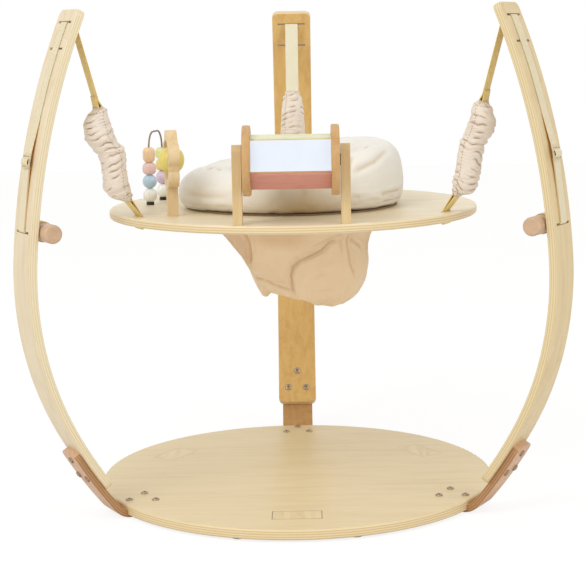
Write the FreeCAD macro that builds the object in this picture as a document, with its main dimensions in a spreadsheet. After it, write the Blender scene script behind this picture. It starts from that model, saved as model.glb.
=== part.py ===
import FreeCAD, Part
import math
import os

import Sketcher
from FreeCAD import Matrix, Placement, Rotation, Vector

# Wooden baby activity jumper, millimetres, +Z up.
# The origin lies on the floor under the centre of the round base.  Three bent
# laminated arms stand at 90, 210 and 330 degrees and carry a round tray on straps
# and springs.  A cloth seat turns in the middle of the tray.

os.makedirs("parts", exist_ok=True)
doc = FreeCAD.newDocument("activity_jumper")

# ---------------------------------------------------------------- sizes
SIZES = [
    # base
    ("base_radius", 350, "round base board"),
    ("base_thick", 18, "base board"),
    ("edge_round", 4, "rounded rims of the base and the tray"),
    ("foot_thick", 4, "pads that lift the base off the floor"),
    ("foot_radius", 12, "pad"),
    ("foot_reach", 326, "pad centre from the middle"),
    ("foot_spread", 17, "pads either side of the middle between two arms, degrees"),
    ("inlay_long", 82, "flush plate in the base, across"),
    ("inlay_wide", 44, "flush plate, along the radius"),
    ("inlay_deep", 6, "flush plate"),
    ("inlay_reach", 268, "flush plate centre from the middle"),
    ("joint_gap", 0.2, "woodwork clearance on each side"),
    # arms
    ("arm_wide", 76, "bent laminated arm"),
    ("arm_thick", 14, "bent laminated arm"),
    ("arm_foot", 56, "lower end above the floor"),
    ("arm_top", 853, "upper end above the floor"),
    ("arm_corner", 11, "rounded end corners"),
    ("arm_soften", 2, "rounded long edges"),
    ("belly_reach", 510, "widest point of the arm from the middle"),
    ("belly_height", 408.5, "height of the widest point"),
    ("belly_radius", 551, "middle bend"),
    ("lower_joint", 145, "height where the lower bend begins"),
    ("lower_radius", 823, "lower bend"),
    ("upper_joint", 445, "height where the upper bend begins"),
    ("upper_radius", 1196, "upper bend"),
    ("slot_long", 54, "strap slot across the arm"),
    ("slot_high", 4, "strap slot"),
    ("slot_top", 832, "used upper slot above the floor"),
    ("slot_spare", 790, "spare upper slot"),
    ("slot_low", 498, "lower slot"),
    # brackets under the base
    ("bracket_wide", 60, "bent plywood bracket"),
    ("bracket_thick", 12, "bent plywood bracket"),
    ("bracket_let", 9, "depth that the bracket is let into the base"),
    ("bracket_start", 270, "inner end of the lower leg from the middle"),
    ("bracket_bend", 24, "inside bend"),
    ("bracket_top", 127, "upper end above the floor"),
    ("bracket_corner", 14, "rounded upper corners"),
    # fasteners
    ("bolt_radius", 3, "bolt shank"),
    ("bolt_fit", 0.1, "shank clearance in its hole"),
    ("head_radius", 6.5, "bolt head"),
    ("head_thick", 3, "bolt head"),
    ("nut_radius", 6, "cap nut"),
    ("nut_thick", 4, "cap nut"),
    ("nut_sink", 7, "sinking for the nuts under the base leg"),
    ("base_bolt_outer", 333, "single base bolt from the middle"),
    ("base_bolt_inner", 294, "pair of base bolts from the middle"),
    ("base_bolt_apart", 46, "between the bolts of a pair"),
    ("arm_bolt_low", 83, "height of the pair in the arm"),
    ("arm_bolt_high", 114, "height of the single bolt in the arm"),
    ("arm_bolt_apart", 36, "between the bolts of the arm pair"),
    # straps
    ("strap_wide", 25, "webbing"),
    ("strap_thick", 1.4, "webbing"),
    ("strap_air", 0.2, "air beside the webbing"),
    ("strap_turn", 2.2, "smallest bend of the webbing, middle line"),
    ("glide_height", 610, "strap adjuster above the floor"),
    ("glide_bar", 1.2, "half of an adjuster bar"),
    ("glide_pitch", 10, "between adjuster bars"),
    ("glide_wide", 31, "adjuster over its ends"),
    ("glide_stand", 6.4, "adjuster middle off the arm face"),
    ("toggle_radius", 15.5, "wooden toggle dowel"),
    ("toggle_long", 116, "wooden toggle dowel"),
    ("toggle_soften", 4, "rounded dowel ends"),
    ("toggle_drop", 1, "dowel middle below the lower slot"),
    # springs in their cloth sleeves
    ("spring_top", 689, "height of the upper cross pin"),
    ("spring_top_reach", 364, "upper cross pin from the middle"),
    ("spring_low", 548, "height of the lower cross pin"),
    ("spring_low_reach", 324, "lower cross pin from the middle"),
    ("spring_radius", 11, "coil outside"),
    ("spring_bore", 8, "coil inside"),
    ("spring_turns", 14, "ridges drawn on the closed coil"),
    ("pin_radius", 2, "cross pin and its stem"),
    ("pin_long", 28, "cross pin"),
    ("pin_stem", 16, "from the cross pin to the coil end"),
    ("sleeve_radius", 21.5, "gathered sleeve outside"),
    ("sleeve_bore", 14.6, "gathered sleeve inside"),
    ("sleeve_over", 4, "sleeve past each cross pin"),
    # tray
    ("tray_radius", 323, "round tray"),
    ("tray_thick", 14, "round tray"),
    ("tray_top", 509, "upper face above the floor"),
    ("tray_hole", 160, "seat hole"),
    ("tray_slot_reach", 297, "strap slot from the middle"),
    ("tray_slot_long", 38, "strap slot in the tray"),
    ("peg_radius", 2, "peg that holds the webbing under the tray"),
    ("peg_long", 34, "peg under the tray"),
    # seat
    ("ring_wall", 4, "turning seat ring"),
    ("ring_gap", 0.3, "turning clearance"),
    ("flange_radius", 184, "flange that rides on the tray"),
    ("flange_thick", 2.5, "flange that rides on the tray"),
    ("keeper_radius", 168, "ring that holds the seat from below"),
    ("keeper_thick", 6, "ring that holds the seat from below"),
    ("cushion_radius", 195, "padded collar at the tray"),
    ("cushion_inner", 104, "body opening"),
    ("cushion_high", 84, "collar crest above the tray, at the sides"),
    ("cushion_rise", 0.165, "slope of the crest up to the back"),
    ("seat_back", 20, "direction of the seat back, degrees"),
    ("bag_wall", 4, "cloth seat wall"),
    ("bag_low", 331, "lowest point of the cloth seat"),
    ("bag_set", 62, "how far the seat bottom sits to the back"),
    ("leg_radius", 36, "leg opening"),
    ("leg_spread", 68, "leg opening from straight ahead, degrees"),
    ("leg_reach", 46, "leg opening from the middle"),
    ("leg_height", 352, "leg opening above the floor"),
    ("leg_dip", 78, "leg opening looks down, degrees"),
    # drum
    ("drum_reach", 292, "drum axis in front of the middle"),
    ("drum_height", 101, "drum axis above the tray"),
    ("disc_radius", 56, "end disc"),
    ("disc_thick", 13, "end disc"),
    ("prism_radius", 44.6, "corner of the wooden core"),
    ("prism_long", 127, "between the end discs"),
    ("prism_turn", 3, "drum turned to the front at rest, degrees"),
    ("panel_thick", 2.4, "coloured side panel"),
    ("panel_margin", 1.5, "panel inside the edge of its side"),
    ("washer_thick", 2, "washer between disc and post"),
    ("washer_radius", 9.5, "washer"),
    ("axle_radius", 4, "drum axle"),
    ("axle_fit", 0.08, "running clearance on the axle"),
    ("post_thick", 15, "drum post"),
    ("post_wide", 30, "drum post, front to back"),
    ("post_high", 126.5, "drum post above the tray"),
    ("post_round", 12, "rounded post top"),
    ("tenon_wide", 20, "foot of a post in the tray"),
    # flower
    ("flower_reach", 249, "flower foot from the middle"),
    ("flower_angle", 216.2, "direction of the flower from the middle, degrees"),
    ("flower_face", 101, "direction in which the flower board runs, degrees"),
    ("flower_height", 93.5, "flower middle above the tray"),
    ("flower_thick", 18, "flower board"),
    ("petal_count", 5, "petals, one of them upright"),
    ("petal_radius", 19, "petal"),
    ("petal_reach", 31, "petal centre from the flower middle"),
    ("flower_bore", 33.5, "opening in the flower"),
    ("flower_wall", 6, "least wood between the petals and the opening"),
    ("stem_wide", 21, "flower stem"),
    ("flower_pin", 2.5, "pin through the flower"),
    ("egg_radius", 22, "turning round bead"),
    ("egg_high", 43, "turning round bead"),
    # bead wire
    ("wire_reach", 260, "middle of the bead wire from the middle"),
    ("wire_angle", 162.4, "direction of the bead wire, degrees"),
    ("wire_face", 259.3, "direction in which the bead wire runs, degrees"),
    ("wire_apart", 86, "between the wire legs"),
    ("wire_high", 129, "top of the wire above the tray"),
    ("wire_bend", 29, "wire bend"),
    ("wire_radius", 1.6, "wire"),
    ("ferrule_radius", 7, "black foot of the wire"),
    ("ferrule_high", 5, "black foot of the wire"),
    ("bead_fit", 0.7, "loose fit of a bead on the wire"),
    ("bead_air", 0.3, "air between beads"),
    ("ball_radius", 12.8, "round bead"),
    ("barrel_radius", 12.4, "barrel bead"),
    ("barrel_high", 21, "barrel bead"),
    ("tall_barrel_radius", 11.3, "tall barrel bead"),
    ("tall_barrel_high", 27, "tall barrel bead"),
]

sheet = doc.addObject("Spreadsheet::Sheet", "Sizes")
for line, (alias, value, meaning) in enumerate(SIZES, start=1):
    sheet.set(f"A{line}", meaning)
    sheet.set(f"B{line}", str(value))
    sheet.setAlias(f"B{line}", alias)
doc.recompute()


def size(alias):
    return float(sheet.get(alias))


ARMS = {"rear": 90.0, "left": 210.0, "right": 330.0}
nodes = []


# ---------------------------------------------------------------- helpers
def turn(degrees, x=0.0, y=0.0, z=0.0):
    """Placement: moved to (x, y, z) and turned about the upright axis."""
    return Placement(Vector(x, y, z), Rotation(Vector(0, 0, 1), degrees))


def polar(reach, degrees, height=0.0):
    angle = math.radians(degrees)
    return Vector(reach * math.cos(angle), reach * math.sin(angle), height)


def node(label, source):
    """Name an object as one piece of the product."""
    source.Label = label
    nodes.append(source)
    return source


def feature(name, shape, placement=None):
    item = doc.addObject("Part::Feature", name)
    item.Shape = shape
    if placement is not None:
        item.Placement = placement
    return item


def turned_copies(prefix, source, suffixes=None):
    """The same piece at each arm."""
    for name, degrees in ARMS.items():
        copy = feature(f"{prefix}_{name}", source.Shape.copy())
        copy.Placement = turn(degrees).multiply(source.Placement)
        node(f"{prefix}_{name}", copy)


def plane_of(body, role):
    return [f for f in body.Origin.OriginFeatures if f.Role == role][0]


def sketch_on(body, role, name, lift=0.0):
    sketch = body.newObject("Sketcher::SketchObject", name)
    sketch.AttachmentSupport = [(plane_of(body, role), "")]
    sketch.MapMode = "FlatFace"
    if lift:
        sketch.AttachmentOffset = Placement(Vector(0, 0, lift), Rotation())
    return sketch


def hold(sketch, name, constraint, formula):
    """Add a named constraint and drive it from the sheet."""
    sketch.addConstraint(constraint)
    index = len(sketch.Constraints) - 1
    sketch.renameConstraint(index, name)
    sketch.setExpression(f"Constraints.{name}", formula)


def circle(sketch, tag, x, y, radius):
    """Circle whose centre and radius follow formulas."""
    values = [evaluate(f) for f in (x, y, radius)]
    g = sketch.addGeometry(Part.Circle(Vector(values[0], values[1], 0), Vector(0, 0, 1), values[2]))
    hold(sketch, tag + "_radius", Sketcher.Constraint("Radius", g, values[2]), radius)
    hold(sketch, tag + "_x", Sketcher.Constraint("DistanceX", -1, 1, g, 3, values[0]), x)
    hold(sketch, tag + "_y", Sketcher.Constraint("DistanceY", -1, 1, g, 3, values[1]), y)


def box_lines(sketch, tag, left, bottom, wide, high):
    """Upright rectangle whose corner and sides follow formulas."""
    x, y, w, t = [evaluate(f) for f in (left, bottom, wide, high)]
    p = [Vector(x, y, 0), Vector(x + w, y, 0), Vector(x + w, y + t, 0), Vector(x, y + t, 0)]
    g = [sketch.addGeometry(Part.LineSegment(p[i], p[(i + 1) % 4])) for i in range(4)]
    for i in range(4):
        sketch.addConstraint(Sketcher.Constraint("Coincident", g[i], 2, g[(i + 1) % 4], 1))
    for i in (0, 2):
        sketch.addConstraint(Sketcher.Constraint("Horizontal", g[i]))
        sketch.addConstraint(Sketcher.Constraint("Vertical", g[i + 1]))
    hold(sketch, tag + "_left", Sketcher.Constraint("DistanceX", -1, 1, g[0], 1, x), left)
    hold(sketch, tag + "_bottom", Sketcher.Constraint("DistanceY", -1, 1, g[0], 1, y), bottom)
    hold(sketch, tag + "_wide", Sketcher.Constraint("DistanceX", g[0], 1, g[0], 2, w), wide)
    hold(sketch, tag + "_high", Sketcher.Constraint("DistanceY", g[1], 1, g[1], 2, t), high)


def evaluate(formula):
    """Number that a sheet formula gives now."""
    return float(sheet.evalExpression(formula.replace("Sizes.", "")))


def extrude(body, sketch, length, symmetric=False, reverse=False, cut=False):
    kind = "PartDesign::Pocket" if cut else "PartDesign::Pad"
    item = body.newObject(kind, "Cut" if cut else "Pad")
    item.Profile = sketch
    item.setExpression("Length", length)
    if symmetric:
        item.SideType = "Symmetric"
    item.Reversed = reverse
    sketch.Visibility = False
    body.Tip = item
    return item


def polar_pattern(body, originals, count=3):
    item = body.newObject("PartDesign::PolarPattern", "Around")
    item.Originals = originals
    item.Axis = (plane_of(body, "Z_Axis"), [""])
    item.Angle = 360
    item.Occurrences = count
    body.Tip = item
    return item


def edge_names(shape, wanted):
    return [f"Edge{i + 1}" for i, edge in enumerate(shape.Edges) if wanted(edge)]


def fillet(body, wanted, radius):
    doc.recompute()
    base = body.Tip
    names = edge_names(base.Shape, wanted)
    item = body.newObject("PartDesign::Fillet", "Round")
    item.Base = (base, names)
    item.setExpression("Radius", radius)
    body.Tip = item
    return item


def cylinder(name, radius, height, placement):
    """Cylinder whose sizes follow the sheet."""
    item = doc.addObject("Part::Cylinder", name)
    item.setExpression("Radius", radius)
    item.setExpression("Height", height)
    item.Placement = placement
    return item


def along(direction):
    return Rotation(Vector(0, 0, 1), direction)


def fused(name, items):
    item = doc.addObject("Part::MultiFuse", name)
    item.Shapes = items
    return item


def cut_from(name, base, tool):
    item = doc.addObject("Part::Cut", name)
    item.Base = base
    item.Tool = tool
    return item


def flat(r, z):
    """Point of the upright plane through the middle and an arm at zero degrees."""
    return Vector(r, 0, z)


def ribbon(points, bends, thick):
    """Face of a webbing seen on its edge: straight runs joined by round bends."""
    half = thick / 2
    left, right = [], []
    count = len(points)
    dirs = [(points[i + 1] - points[i]).normalize() for i in range(count - 1)]

    def side(direction):
        return Vector(-direction.z, 0, direction.x)

    start = [points[0] + side(dirs[0]) * half, points[0] - side(dirs[0]) * half]
    for i in range(1, count - 1):
        a, b = dirs[i - 1], dirs[i]
        across = a.x * b.z - a.z * b.x
        angle = math.atan2(abs(across), a.dot(b))
        reach = bends[i - 1] * math.tan(angle / 2)
        hand = 1.0 if across > 0 else -1.0
        p, q = points[i] - a * reach, points[i] + b * reach
        centre = p + side(a) * (hand * bends[i - 1])
        middle = points[i] - centre
        middle.normalize()
        for line, offset in ((left, half), (right, -half)):
            r = bends[i - 1] - hand * offset
            line.append((p + side(a) * offset, centre + middle * r, q + side(b) * offset))
    end = [points[-1] + side(dirs[-1]) * half, points[-1] - side(dirs[-1]) * half]

    def edges(first, turns, last):
        out, here = [], first
        for p, m, q in turns:
            if (p - here).Length > 1e-6:
                out.append(Part.LineSegment(here, p).toShape())
            out.append(Part.Arc(p, m, q).toShape())
            here = q
        if (last - here).Length > 1e-6:
            out.append(Part.LineSegment(here, last).toShape())
        return out

    outline = edges(start[0], left, end[0])
    outline.append(Part.LineSegment(end[0], end[1]).toShape())
    outline += [e for e in edges(start[1], right, end[1])]
    outline.append(Part.LineSegment(start[1], start[0]).toShape())
    return Part.Face(Part.Wire(Part.__sortEdges__(outline)))


def widen(face, wide):
    """Solid of the given width, centred on the plane of the face."""
    shape = face.extrude(Vector(0, wide, 0))
    shape.translate(Vector(0, -wide / 2, 0))
    return shape


def rod_y(r, z, radius, wide):
    """Solid rod across the plane of an arm."""
    return Part.makeCylinder(radius, wide, Vector(r, -wide / 2, z), Vector(0, 1, 0))


# ---------------------------------------------------------------- arm curve
RISE = "Sizes.foot_thick + Sizes.base_thick"
MID_X = "(Sizes.belly_reach - Sizes.belly_radius)"
LOW_SINE = "((Sizes.lower_joint - Sizes.belly_height) / Sizes.belly_radius)"
HIGH_SINE = "((Sizes.upper_joint - Sizes.belly_height) / Sizes.belly_radius)"
LOW_X = f"({MID_X} + (Sizes.belly_radius - Sizes.lower_radius) * sqrt(1 - {LOW_SINE}^2))"
LOW_Z = f"(Sizes.belly_height + (Sizes.belly_radius - Sizes.lower_radius) * {LOW_SINE})"
HIGH_X = f"({MID_X} + (Sizes.belly_radius - Sizes.upper_radius) * sqrt(1 - {HIGH_SINE}^2))"
HIGH_Z = f"(Sizes.belly_height + (Sizes.belly_radius - Sizes.upper_radius) * {HIGH_SINE})"

low_centre = flat(evaluate(LOW_X), evaluate(LOW_Z))
mid_centre = flat(evaluate(MID_X), size("belly_height"))
high_centre = flat(evaluate(HIGH_X), evaluate(HIGH_Z))


def bend_at(height):
    """Centre and outer radius of the arm bend at a height."""
    if height < size("lower_joint"):
        return low_centre, size("lower_radius")
    if height > size("upper_joint"):
        return high_centre, size("upper_radius")
    return mid_centre, size("belly_radius")


def arm_face(height, off=0.0):
    """Point of the arm's outer face, moved off it (negative: into the arm)."""
    centre, radius = bend_at(height)
    out = arm_out(height)
    return centre + out * (radius + off)


def arm_out(height):
    """Outward normal of the arm's outer face at a height of that face."""
    centre, radius = bend_at(height)
    rise = height - centre.z
    return Vector(math.sqrt(radius ** 2 - rise ** 2), 0, rise).normalize()


def level_cross(height, off):
    """Point at a height on the curve that runs off the arm's outer face."""
    centre, radius = bend_at(height)
    rise = height - centre.z
    return flat(centre.x + math.sqrt((radius + off) ** 2 - rise ** 2), height)


# ---------------------------------------------------------------- base
base = doc.addObject("PartDesign::Body", "base_plate")
disc = sketch_on(base, "XY_Plane", "base_disc")
circle(disc, "rim", "0", "0", "Sizes.base_radius")
board = extrude(base, disc, "Sizes.base_thick")
disc.AttachmentOffset = Placement(Vector(0, 0, size("foot_thick")), Rotation())
disc.setExpression("AttachmentOffset.Base.z", "Sizes.foot_thick")
fillet(base, lambda e: isinstance(e.Curve, Part.Circle), "Sizes.edge_round")

inlay_sketch = sketch_on(base, "XY_Plane", "inlay_pocket")
inlay_sketch.setExpression("AttachmentOffset.Base.z", RISE)
box_lines(inlay_sketch, "inlay", "-Sizes.inlay_reach - Sizes.inlay_wide / 2", "-Sizes.inlay_long / 2",
          "Sizes.inlay_wide", "Sizes.inlay_long")
inlay_cut = extrude(base, inlay_sketch, "Sizes.inlay_deep", cut=True)
polar_pattern(base, [inlay_cut])

LEG_TOP = "(Sizes.foot_thick + Sizes.bracket_let)"
BEND_REACH = "(Sizes.lower_radius - Sizes.bracket_bend)"
BEND_X = (f"({LOW_X} + sqrt({BEND_REACH}^2 - ({LEG_TOP} + Sizes.bracket_bend - {LOW_Z})^2))")
leg_top = evaluate(LEG_TOP)
bend_centre = flat(evaluate(BEND_X), leg_top + size("bracket_bend"))
bend_out = (bend_centre - low_centre).normalize()


def bracket_profile(sketch, inner_only=False):
    """Side view of the bent bracket: leg, bend and upper leg on the arm's lower bend."""
    thick, bend, start = size("bracket_thick"), size("bracket_bend"), size("bracket_start")
    low_r = size("lower_radius")
    top_sine = (size("bracket_top") - low_centre.z) / low_r
    top_angle = math.asin(top_sine)
    bend_angle = math.atan2(bend_out.z, bend_out.x)
    up = Vector(0, 0, 1)

    def at(v):
        return Vector(v.x, v.z, 0)

    def arc(centre, radius, a0, a1):
        return Part.ArcOfCircle(Part.Circle(at(centre), up, radius), a0, a1)

    deep = leg_top - thick
    g_leg = sketch.addGeometry(Part.LineSegment(Vector(start, leg_top, 0), Vector(bend_centre.x, leg_top, 0)))
    g_bend = sketch.addGeometry(arc(bend_centre, bend, -math.pi / 2, bend_angle))
    g_up = sketch.addGeometry(arc(low_centre, low_r, bend_angle, top_angle))
    top_dir = Vector(math.cos(top_angle), math.sin(top_angle), 0)
    c = at(low_centre)
    g_top = sketch.addGeometry(Part.LineSegment(c + top_dir * low_r, c + top_dir * (low_r + thick)))
    g_up2 = sketch.addGeometry(arc(low_centre, low_r + thick, bend_angle, top_angle))
    g_bend2 = sketch.addGeometry(arc(bend_centre, bend + thick, -math.pi / 2, bend_angle))
    g_leg2 = sketch.addGeometry(Part.LineSegment(Vector(bend_centre.x, deep, 0), Vector(start, deep, 0)))
    g_end = sketch.addGeometry(Part.LineSegment(Vector(start, deep, 0), Vector(start, leg_top, 0)))
    add = sketch.addConstraint
    con = Sketcher.Constraint
    add(con("Horizontal", g_leg))
    add(con("Horizontal", g_leg2))
    add(con("Vertical", g_end))
    add(con("Coincident", g_end, 2, g_leg, 1))
    add(con("Coincident", g_leg2, 2, g_end, 1))
    add(con("Tangent", g_leg, 2, g_bend, 1))
    add(con("Tangent", g_bend, 2, g_up, 1))
    add(con("Coincident", g_up, 2, g_top, 1))
    add(con("Coincident", g_top, 2, g_up2, 2))
    add(con("Tangent", g_up2, 1, g_bend2, 2))
    add(con("Tangent", g_bend2, 1, g_leg2, 1))
    add(con("Coincident", g_up, 3, g_up2, 3))
    add(con("Coincident", g_bend, 3, g_bend2, 3))
    add(con("PointOnObject", g_up, 3, g_top))
    hold(sketch, "bend", con("Radius", g_bend, bend), "Sizes.bracket_bend")
    hold(sketch, "upper", con("Radius", g_up, low_r), "Sizes.lower_radius")
    hold(sketch, "thick", con("DistanceY", g_end, 1, g_end, 2, thick), "Sizes.bracket_thick")
    hold(sketch, "start", con("DistanceX", -1, 1, g_leg, 1, start), "Sizes.bracket_start")
    hold(sketch, "level", con("DistanceY", -1, 1, g_leg, 1, leg_top), LEG_TOP)
    hold(sketch, "centre_x", con("DistanceX", -1, 1, g_up, 3, low_centre.x), LOW_X)
    hold(sketch, "centre_z", con("DistanceY", -1, 1, g_up, 3, low_centre.z), LOW_Z)
    hold(sketch, "top", con("DistanceY", -1, 1, g_up, 2, size("bracket_top")), "Sizes.bracket_top")


let_sketch = sketch_on(base, "XZ_Plane", "bracket_let_in")
bracket_profile(let_sketch)
let_cut = extrude(base, let_sketch, "Sizes.bracket_wide + 2 * Sizes.joint_gap", symmetric=True, cut=True)
polar_pattern(base, [let_cut])

hole_sketch = sketch_on(base, "XY_Plane", "bolt_holes")
HOLE = "Sizes.bolt_radius + Sizes.bolt_fit"
circle(hole_sketch, "outer", "Sizes.base_bolt_outer", "0", HOLE)
circle(hole_sketch, "pair_a", "Sizes.base_bolt_inner", "Sizes.base_bolt_apart / 2", HOLE)
circle(hole_sketch, "pair_b", "Sizes.base_bolt_inner", "-Sizes.base_bolt_apart / 2", HOLE)
hole_cut = extrude(base, hole_sketch, "2 * (" + RISE + ")", reverse=True, cut=True)
polar_pattern(base, [hole_cut])
base.Placement = turn(90)
node("base_plate", base)
doc.recompute()

# flush plates in the base
plates = []
for degrees in ARMS.values():
    plate = doc.addObject("Part::Box", "inlay")
    plate.setExpression("Length", "Sizes.inlay_wide - 2 * Sizes.joint_gap")
    plate.setExpression("Width", "Sizes.inlay_long - 2 * Sizes.joint_gap")
    plate.setExpression("Height", "Sizes.inlay_deep")
    corner = Vector(-size("inlay_reach") - size("inlay_wide") / 2 + size("joint_gap"),
                    -size("inlay_long") / 2 + size("joint_gap"),
                    evaluate(RISE) - size("inlay_deep"))
    plate.Placement = turn(degrees).multiply(Placement(corner, Rotation()))
    plates.append(plate)
inlays = doc.addObject("Part::Compound", "base_inlays")
inlays.Links = plates
node("base_inlays", inlays)

pads = []
for degrees in ARMS.values():
    for hand in (-1, 1):
        where = polar(size("foot_reach"), degrees + 180 + hand * size("foot_spread"))
        pads.append(cylinder("foot", "Sizes.foot_radius", "Sizes.foot_thick", Placement(where, Rotation())))
feet = doc.addObject("Part::Compound", "base_feet")
feet.Links = pads
node("base_feet", feet)

# ---------------------------------------------------------------- arms
arm = doc.addObject("PartDesign::Body", "arm_board")
side_view = sketch_on(arm, "XZ_Plane", "arm_side")


def arm_profile(sketch):
    """Three tangent bends for the outer face and three for the inner face."""
    up = Vector(0, 0, 1)
    con = Sketcher.Constraint
    add = sketch.addConstraint
    bends = [(low_centre, size("lower_radius"), size("arm_foot"), size("lower_joint")),
             (mid_centre, size("belly_radius"), size("lower_joint"), size("upper_joint")),
             (high_centre, size("upper_radius"), size("upper_joint"), size("arm_top"))]
    outer, inner = [], []
    for centre, radius, low, high in bends:
        a0, a1 = math.asin((low - centre.z) / radius), math.asin((high - centre.z) / radius)
        c = Vector(centre.x, centre.z, 0)
        outer.append(sketch.addGeometry(Part.ArcOfCircle(Part.Circle(c, up, radius), a0, a1)))
        inner.append(sketch.addGeometry(Part.ArcOfCircle(Part.Circle(c, up, radius - size("arm_thick")), a0, a1)))
    ends = []
    for place, at_end in ((0, 1), (2, 2)):
        p = sketch.getPoint(outer[place], at_end)
        q = sketch.getPoint(inner[place], at_end)
        ends.append(sketch.addGeometry(Part.LineSegment(p, q)))
        add(con("Coincident", outer[place], at_end, ends[-1], 1))
        add(con("Coincident", inner[place], at_end, ends[-1], 2))
        add(con("PointOnObject", outer[place], 3, ends[-1]))
    for chain in (outer, inner):
        add(con("Tangent", chain[0], 2, chain[1], 1))
        add(con("Tangent", chain[1], 2, chain[2], 1))
    for a, b in zip(outer, inner):
        add(con("Coincident", a, 3, b, 3))
    for index, alias in enumerate(("lower_radius", "belly_radius", "upper_radius")):
        hold(sketch, alias, con("Radius", outer[index], size(alias)), "Sizes." + alias)
    hold(sketch, "inside", con("Radius", inner[1], size("belly_radius") - size("arm_thick")),
         "Sizes.belly_radius - Sizes.arm_thick")
    hold(sketch, "belly_x", con("DistanceX", -1, 1, outer[1], 3, mid_centre.x), MID_X)
    hold(sketch, "belly_z", con("DistanceY", -1, 1, outer[1], 3, mid_centre.z), "Sizes.belly_height")
    hold(sketch, "joint_low", con("DistanceY", -1, 1, outer[0], 2, size("lower_joint")), "Sizes.lower_joint")
    hold(sketch, "joint_high", con("DistanceY", -1, 1, outer[1], 2, size("upper_joint")), "Sizes.upper_joint")
    hold(sketch, "foot", con("DistanceY", -1, 1, outer[0], 1, size("arm_foot")), "Sizes.arm_foot")
    hold(sketch, "top", con("DistanceY", -1, 1, outer[2], 2, size("arm_top")), "Sizes.arm_top")


arm_profile(side_view)
extrude(arm, side_view, "Sizes.arm_wide", symmetric=True)
end_levels = (size("arm_foot"), size("arm_top"))


def at_arm_end(edge):
    """Short edges that run through the thickness at the two ends."""
    middle = edge.CenterOfMass
    straight = isinstance(edge.Curve, Part.Line) and abs(edge.Length - size("arm_thick")) < 0.01
    return straight and abs(abs(middle.y) - size("arm_wide") / 2) < 0.01


fillet(arm, at_arm_end, "Sizes.arm_corner")


def long_edge(edge):
    """Edges along the bends, on the two sides of the arm."""
    middle = edge.valueAt((edge.FirstParameter + edge.LastParameter) / 2)
    flat_side = abs(abs(middle.y) - size("arm_wide") / 2) < 0.01
    return flat_side and isinstance(edge.Curve, Part.Circle)


fillet(arm, long_edge, "Sizes.arm_soften")
low_slot = sketch_on(arm, "YZ_Plane", "slot_low")
box_lines(low_slot, "slot_low", "-Sizes.slot_long / 2", "Sizes.slot_low - Sizes.slot_high / 2",
          "Sizes.slot_long", "Sizes.slot_high")
extrude(arm, low_slot, "2 * Sizes.belly_reach", cut=True, reverse=True)
doc.recompute()

bracket = doc.addObject("PartDesign::Body", "bracket_board")
bracket_side = sketch_on(bracket, "XZ_Plane", "bracket_side")
bracket_profile(bracket_side)
extrude(bracket, bracket_side, "Sizes.bracket_wide", symmetric=True)


def at_bracket_end(edge):
    middle = edge.CenterOfMass
    straight = isinstance(edge.Curve, Part.Line) and abs(edge.Length - size("bracket_thick")) < 0.01
    return straight and abs(abs(middle.y) - size("bracket_wide") / 2) < 0.01


fillet(bracket, at_bracket_end, "Sizes.bracket_corner")
doc.recompute()

# bolts through arm and bracket, square to the arm's face
arm_bolts = [(size("arm_bolt_high"), 0.0)]
arm_bolts += [(size("arm_bolt_low"), hand * size("arm_bolt_apart") / 2) for hand in (-1, 1)]
base_bolts = [(size("base_bolt_outer"), 0.0)]
base_bolts += [(size("base_bolt_inner"), hand * size("base_bolt_apart") / 2) for hand in (-1, 1)]
grip = "(Sizes.arm_thick + Sizes.bracket_thick)"
holes, bolts = [], []
for height, sideways in arm_bolts:
    out = arm_out(height)
    inner = arm_face(height, -size("arm_thick")) + Vector(0, sideways, 0)
    holes.append(cylinder("arm_hole", HOLE, grip + " + 20", Placement(inner - out * 10, along(out))))
    head = Placement(inner - out * size("head_thick"), along(out))
    shank = Placement(inner, along(out))
    cap = Placement(inner + out * evaluate(grip), along(out))
    bolts.append(fused("arm_bolt", [
        cylinder("head", "Sizes.head_radius", "Sizes.head_thick", head),
        cylinder("shank", "Sizes.bolt_radius", grip, shank),
        cylinder("cap", "Sizes.nut_radius", "Sizes.nut_thick", cap)]))
sunk, stack = [], f"({RISE} - {LEG_TOP} + Sizes.bracket_thick)"
for reach, sideways in base_bolts:
    under = Vector(reach, sideways, leg_top - size("bracket_thick"))
    top = Vector(reach, sideways, evaluate(RISE))
    sunk.append(cylinder("nut_sink", "Sizes.nut_radius + Sizes.joint_gap", "Sizes.nut_sink + 5",
                         Placement(under - Vector(0, 0, 5), Rotation())))
    sunk.append(cylinder("leg_hole", HOLE, "Sizes.bracket_thick + 10", Placement(under - Vector(0, 0, 5), Rotation())))
    bolts.append(fused("base_bolt", [
        cylinder("base_head", "Sizes.head_radius", "Sizes.head_thick", Placement(top, Rotation())),
        cylinder("base_shank", "Sizes.bolt_radius", stack + " - Sizes.nut_sink + Sizes.nut_thick / 2",
                 Placement(under + Vector(0, 0, size("nut_sink") - size("nut_thick") / 2), Rotation())),
        cylinder("base_nut", "Sizes.nut_radius", "Sizes.nut_thick",
                 Placement(under + Vector(0, 0, size("nut_sink") - size("nut_thick")), Rotation()))]))

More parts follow.
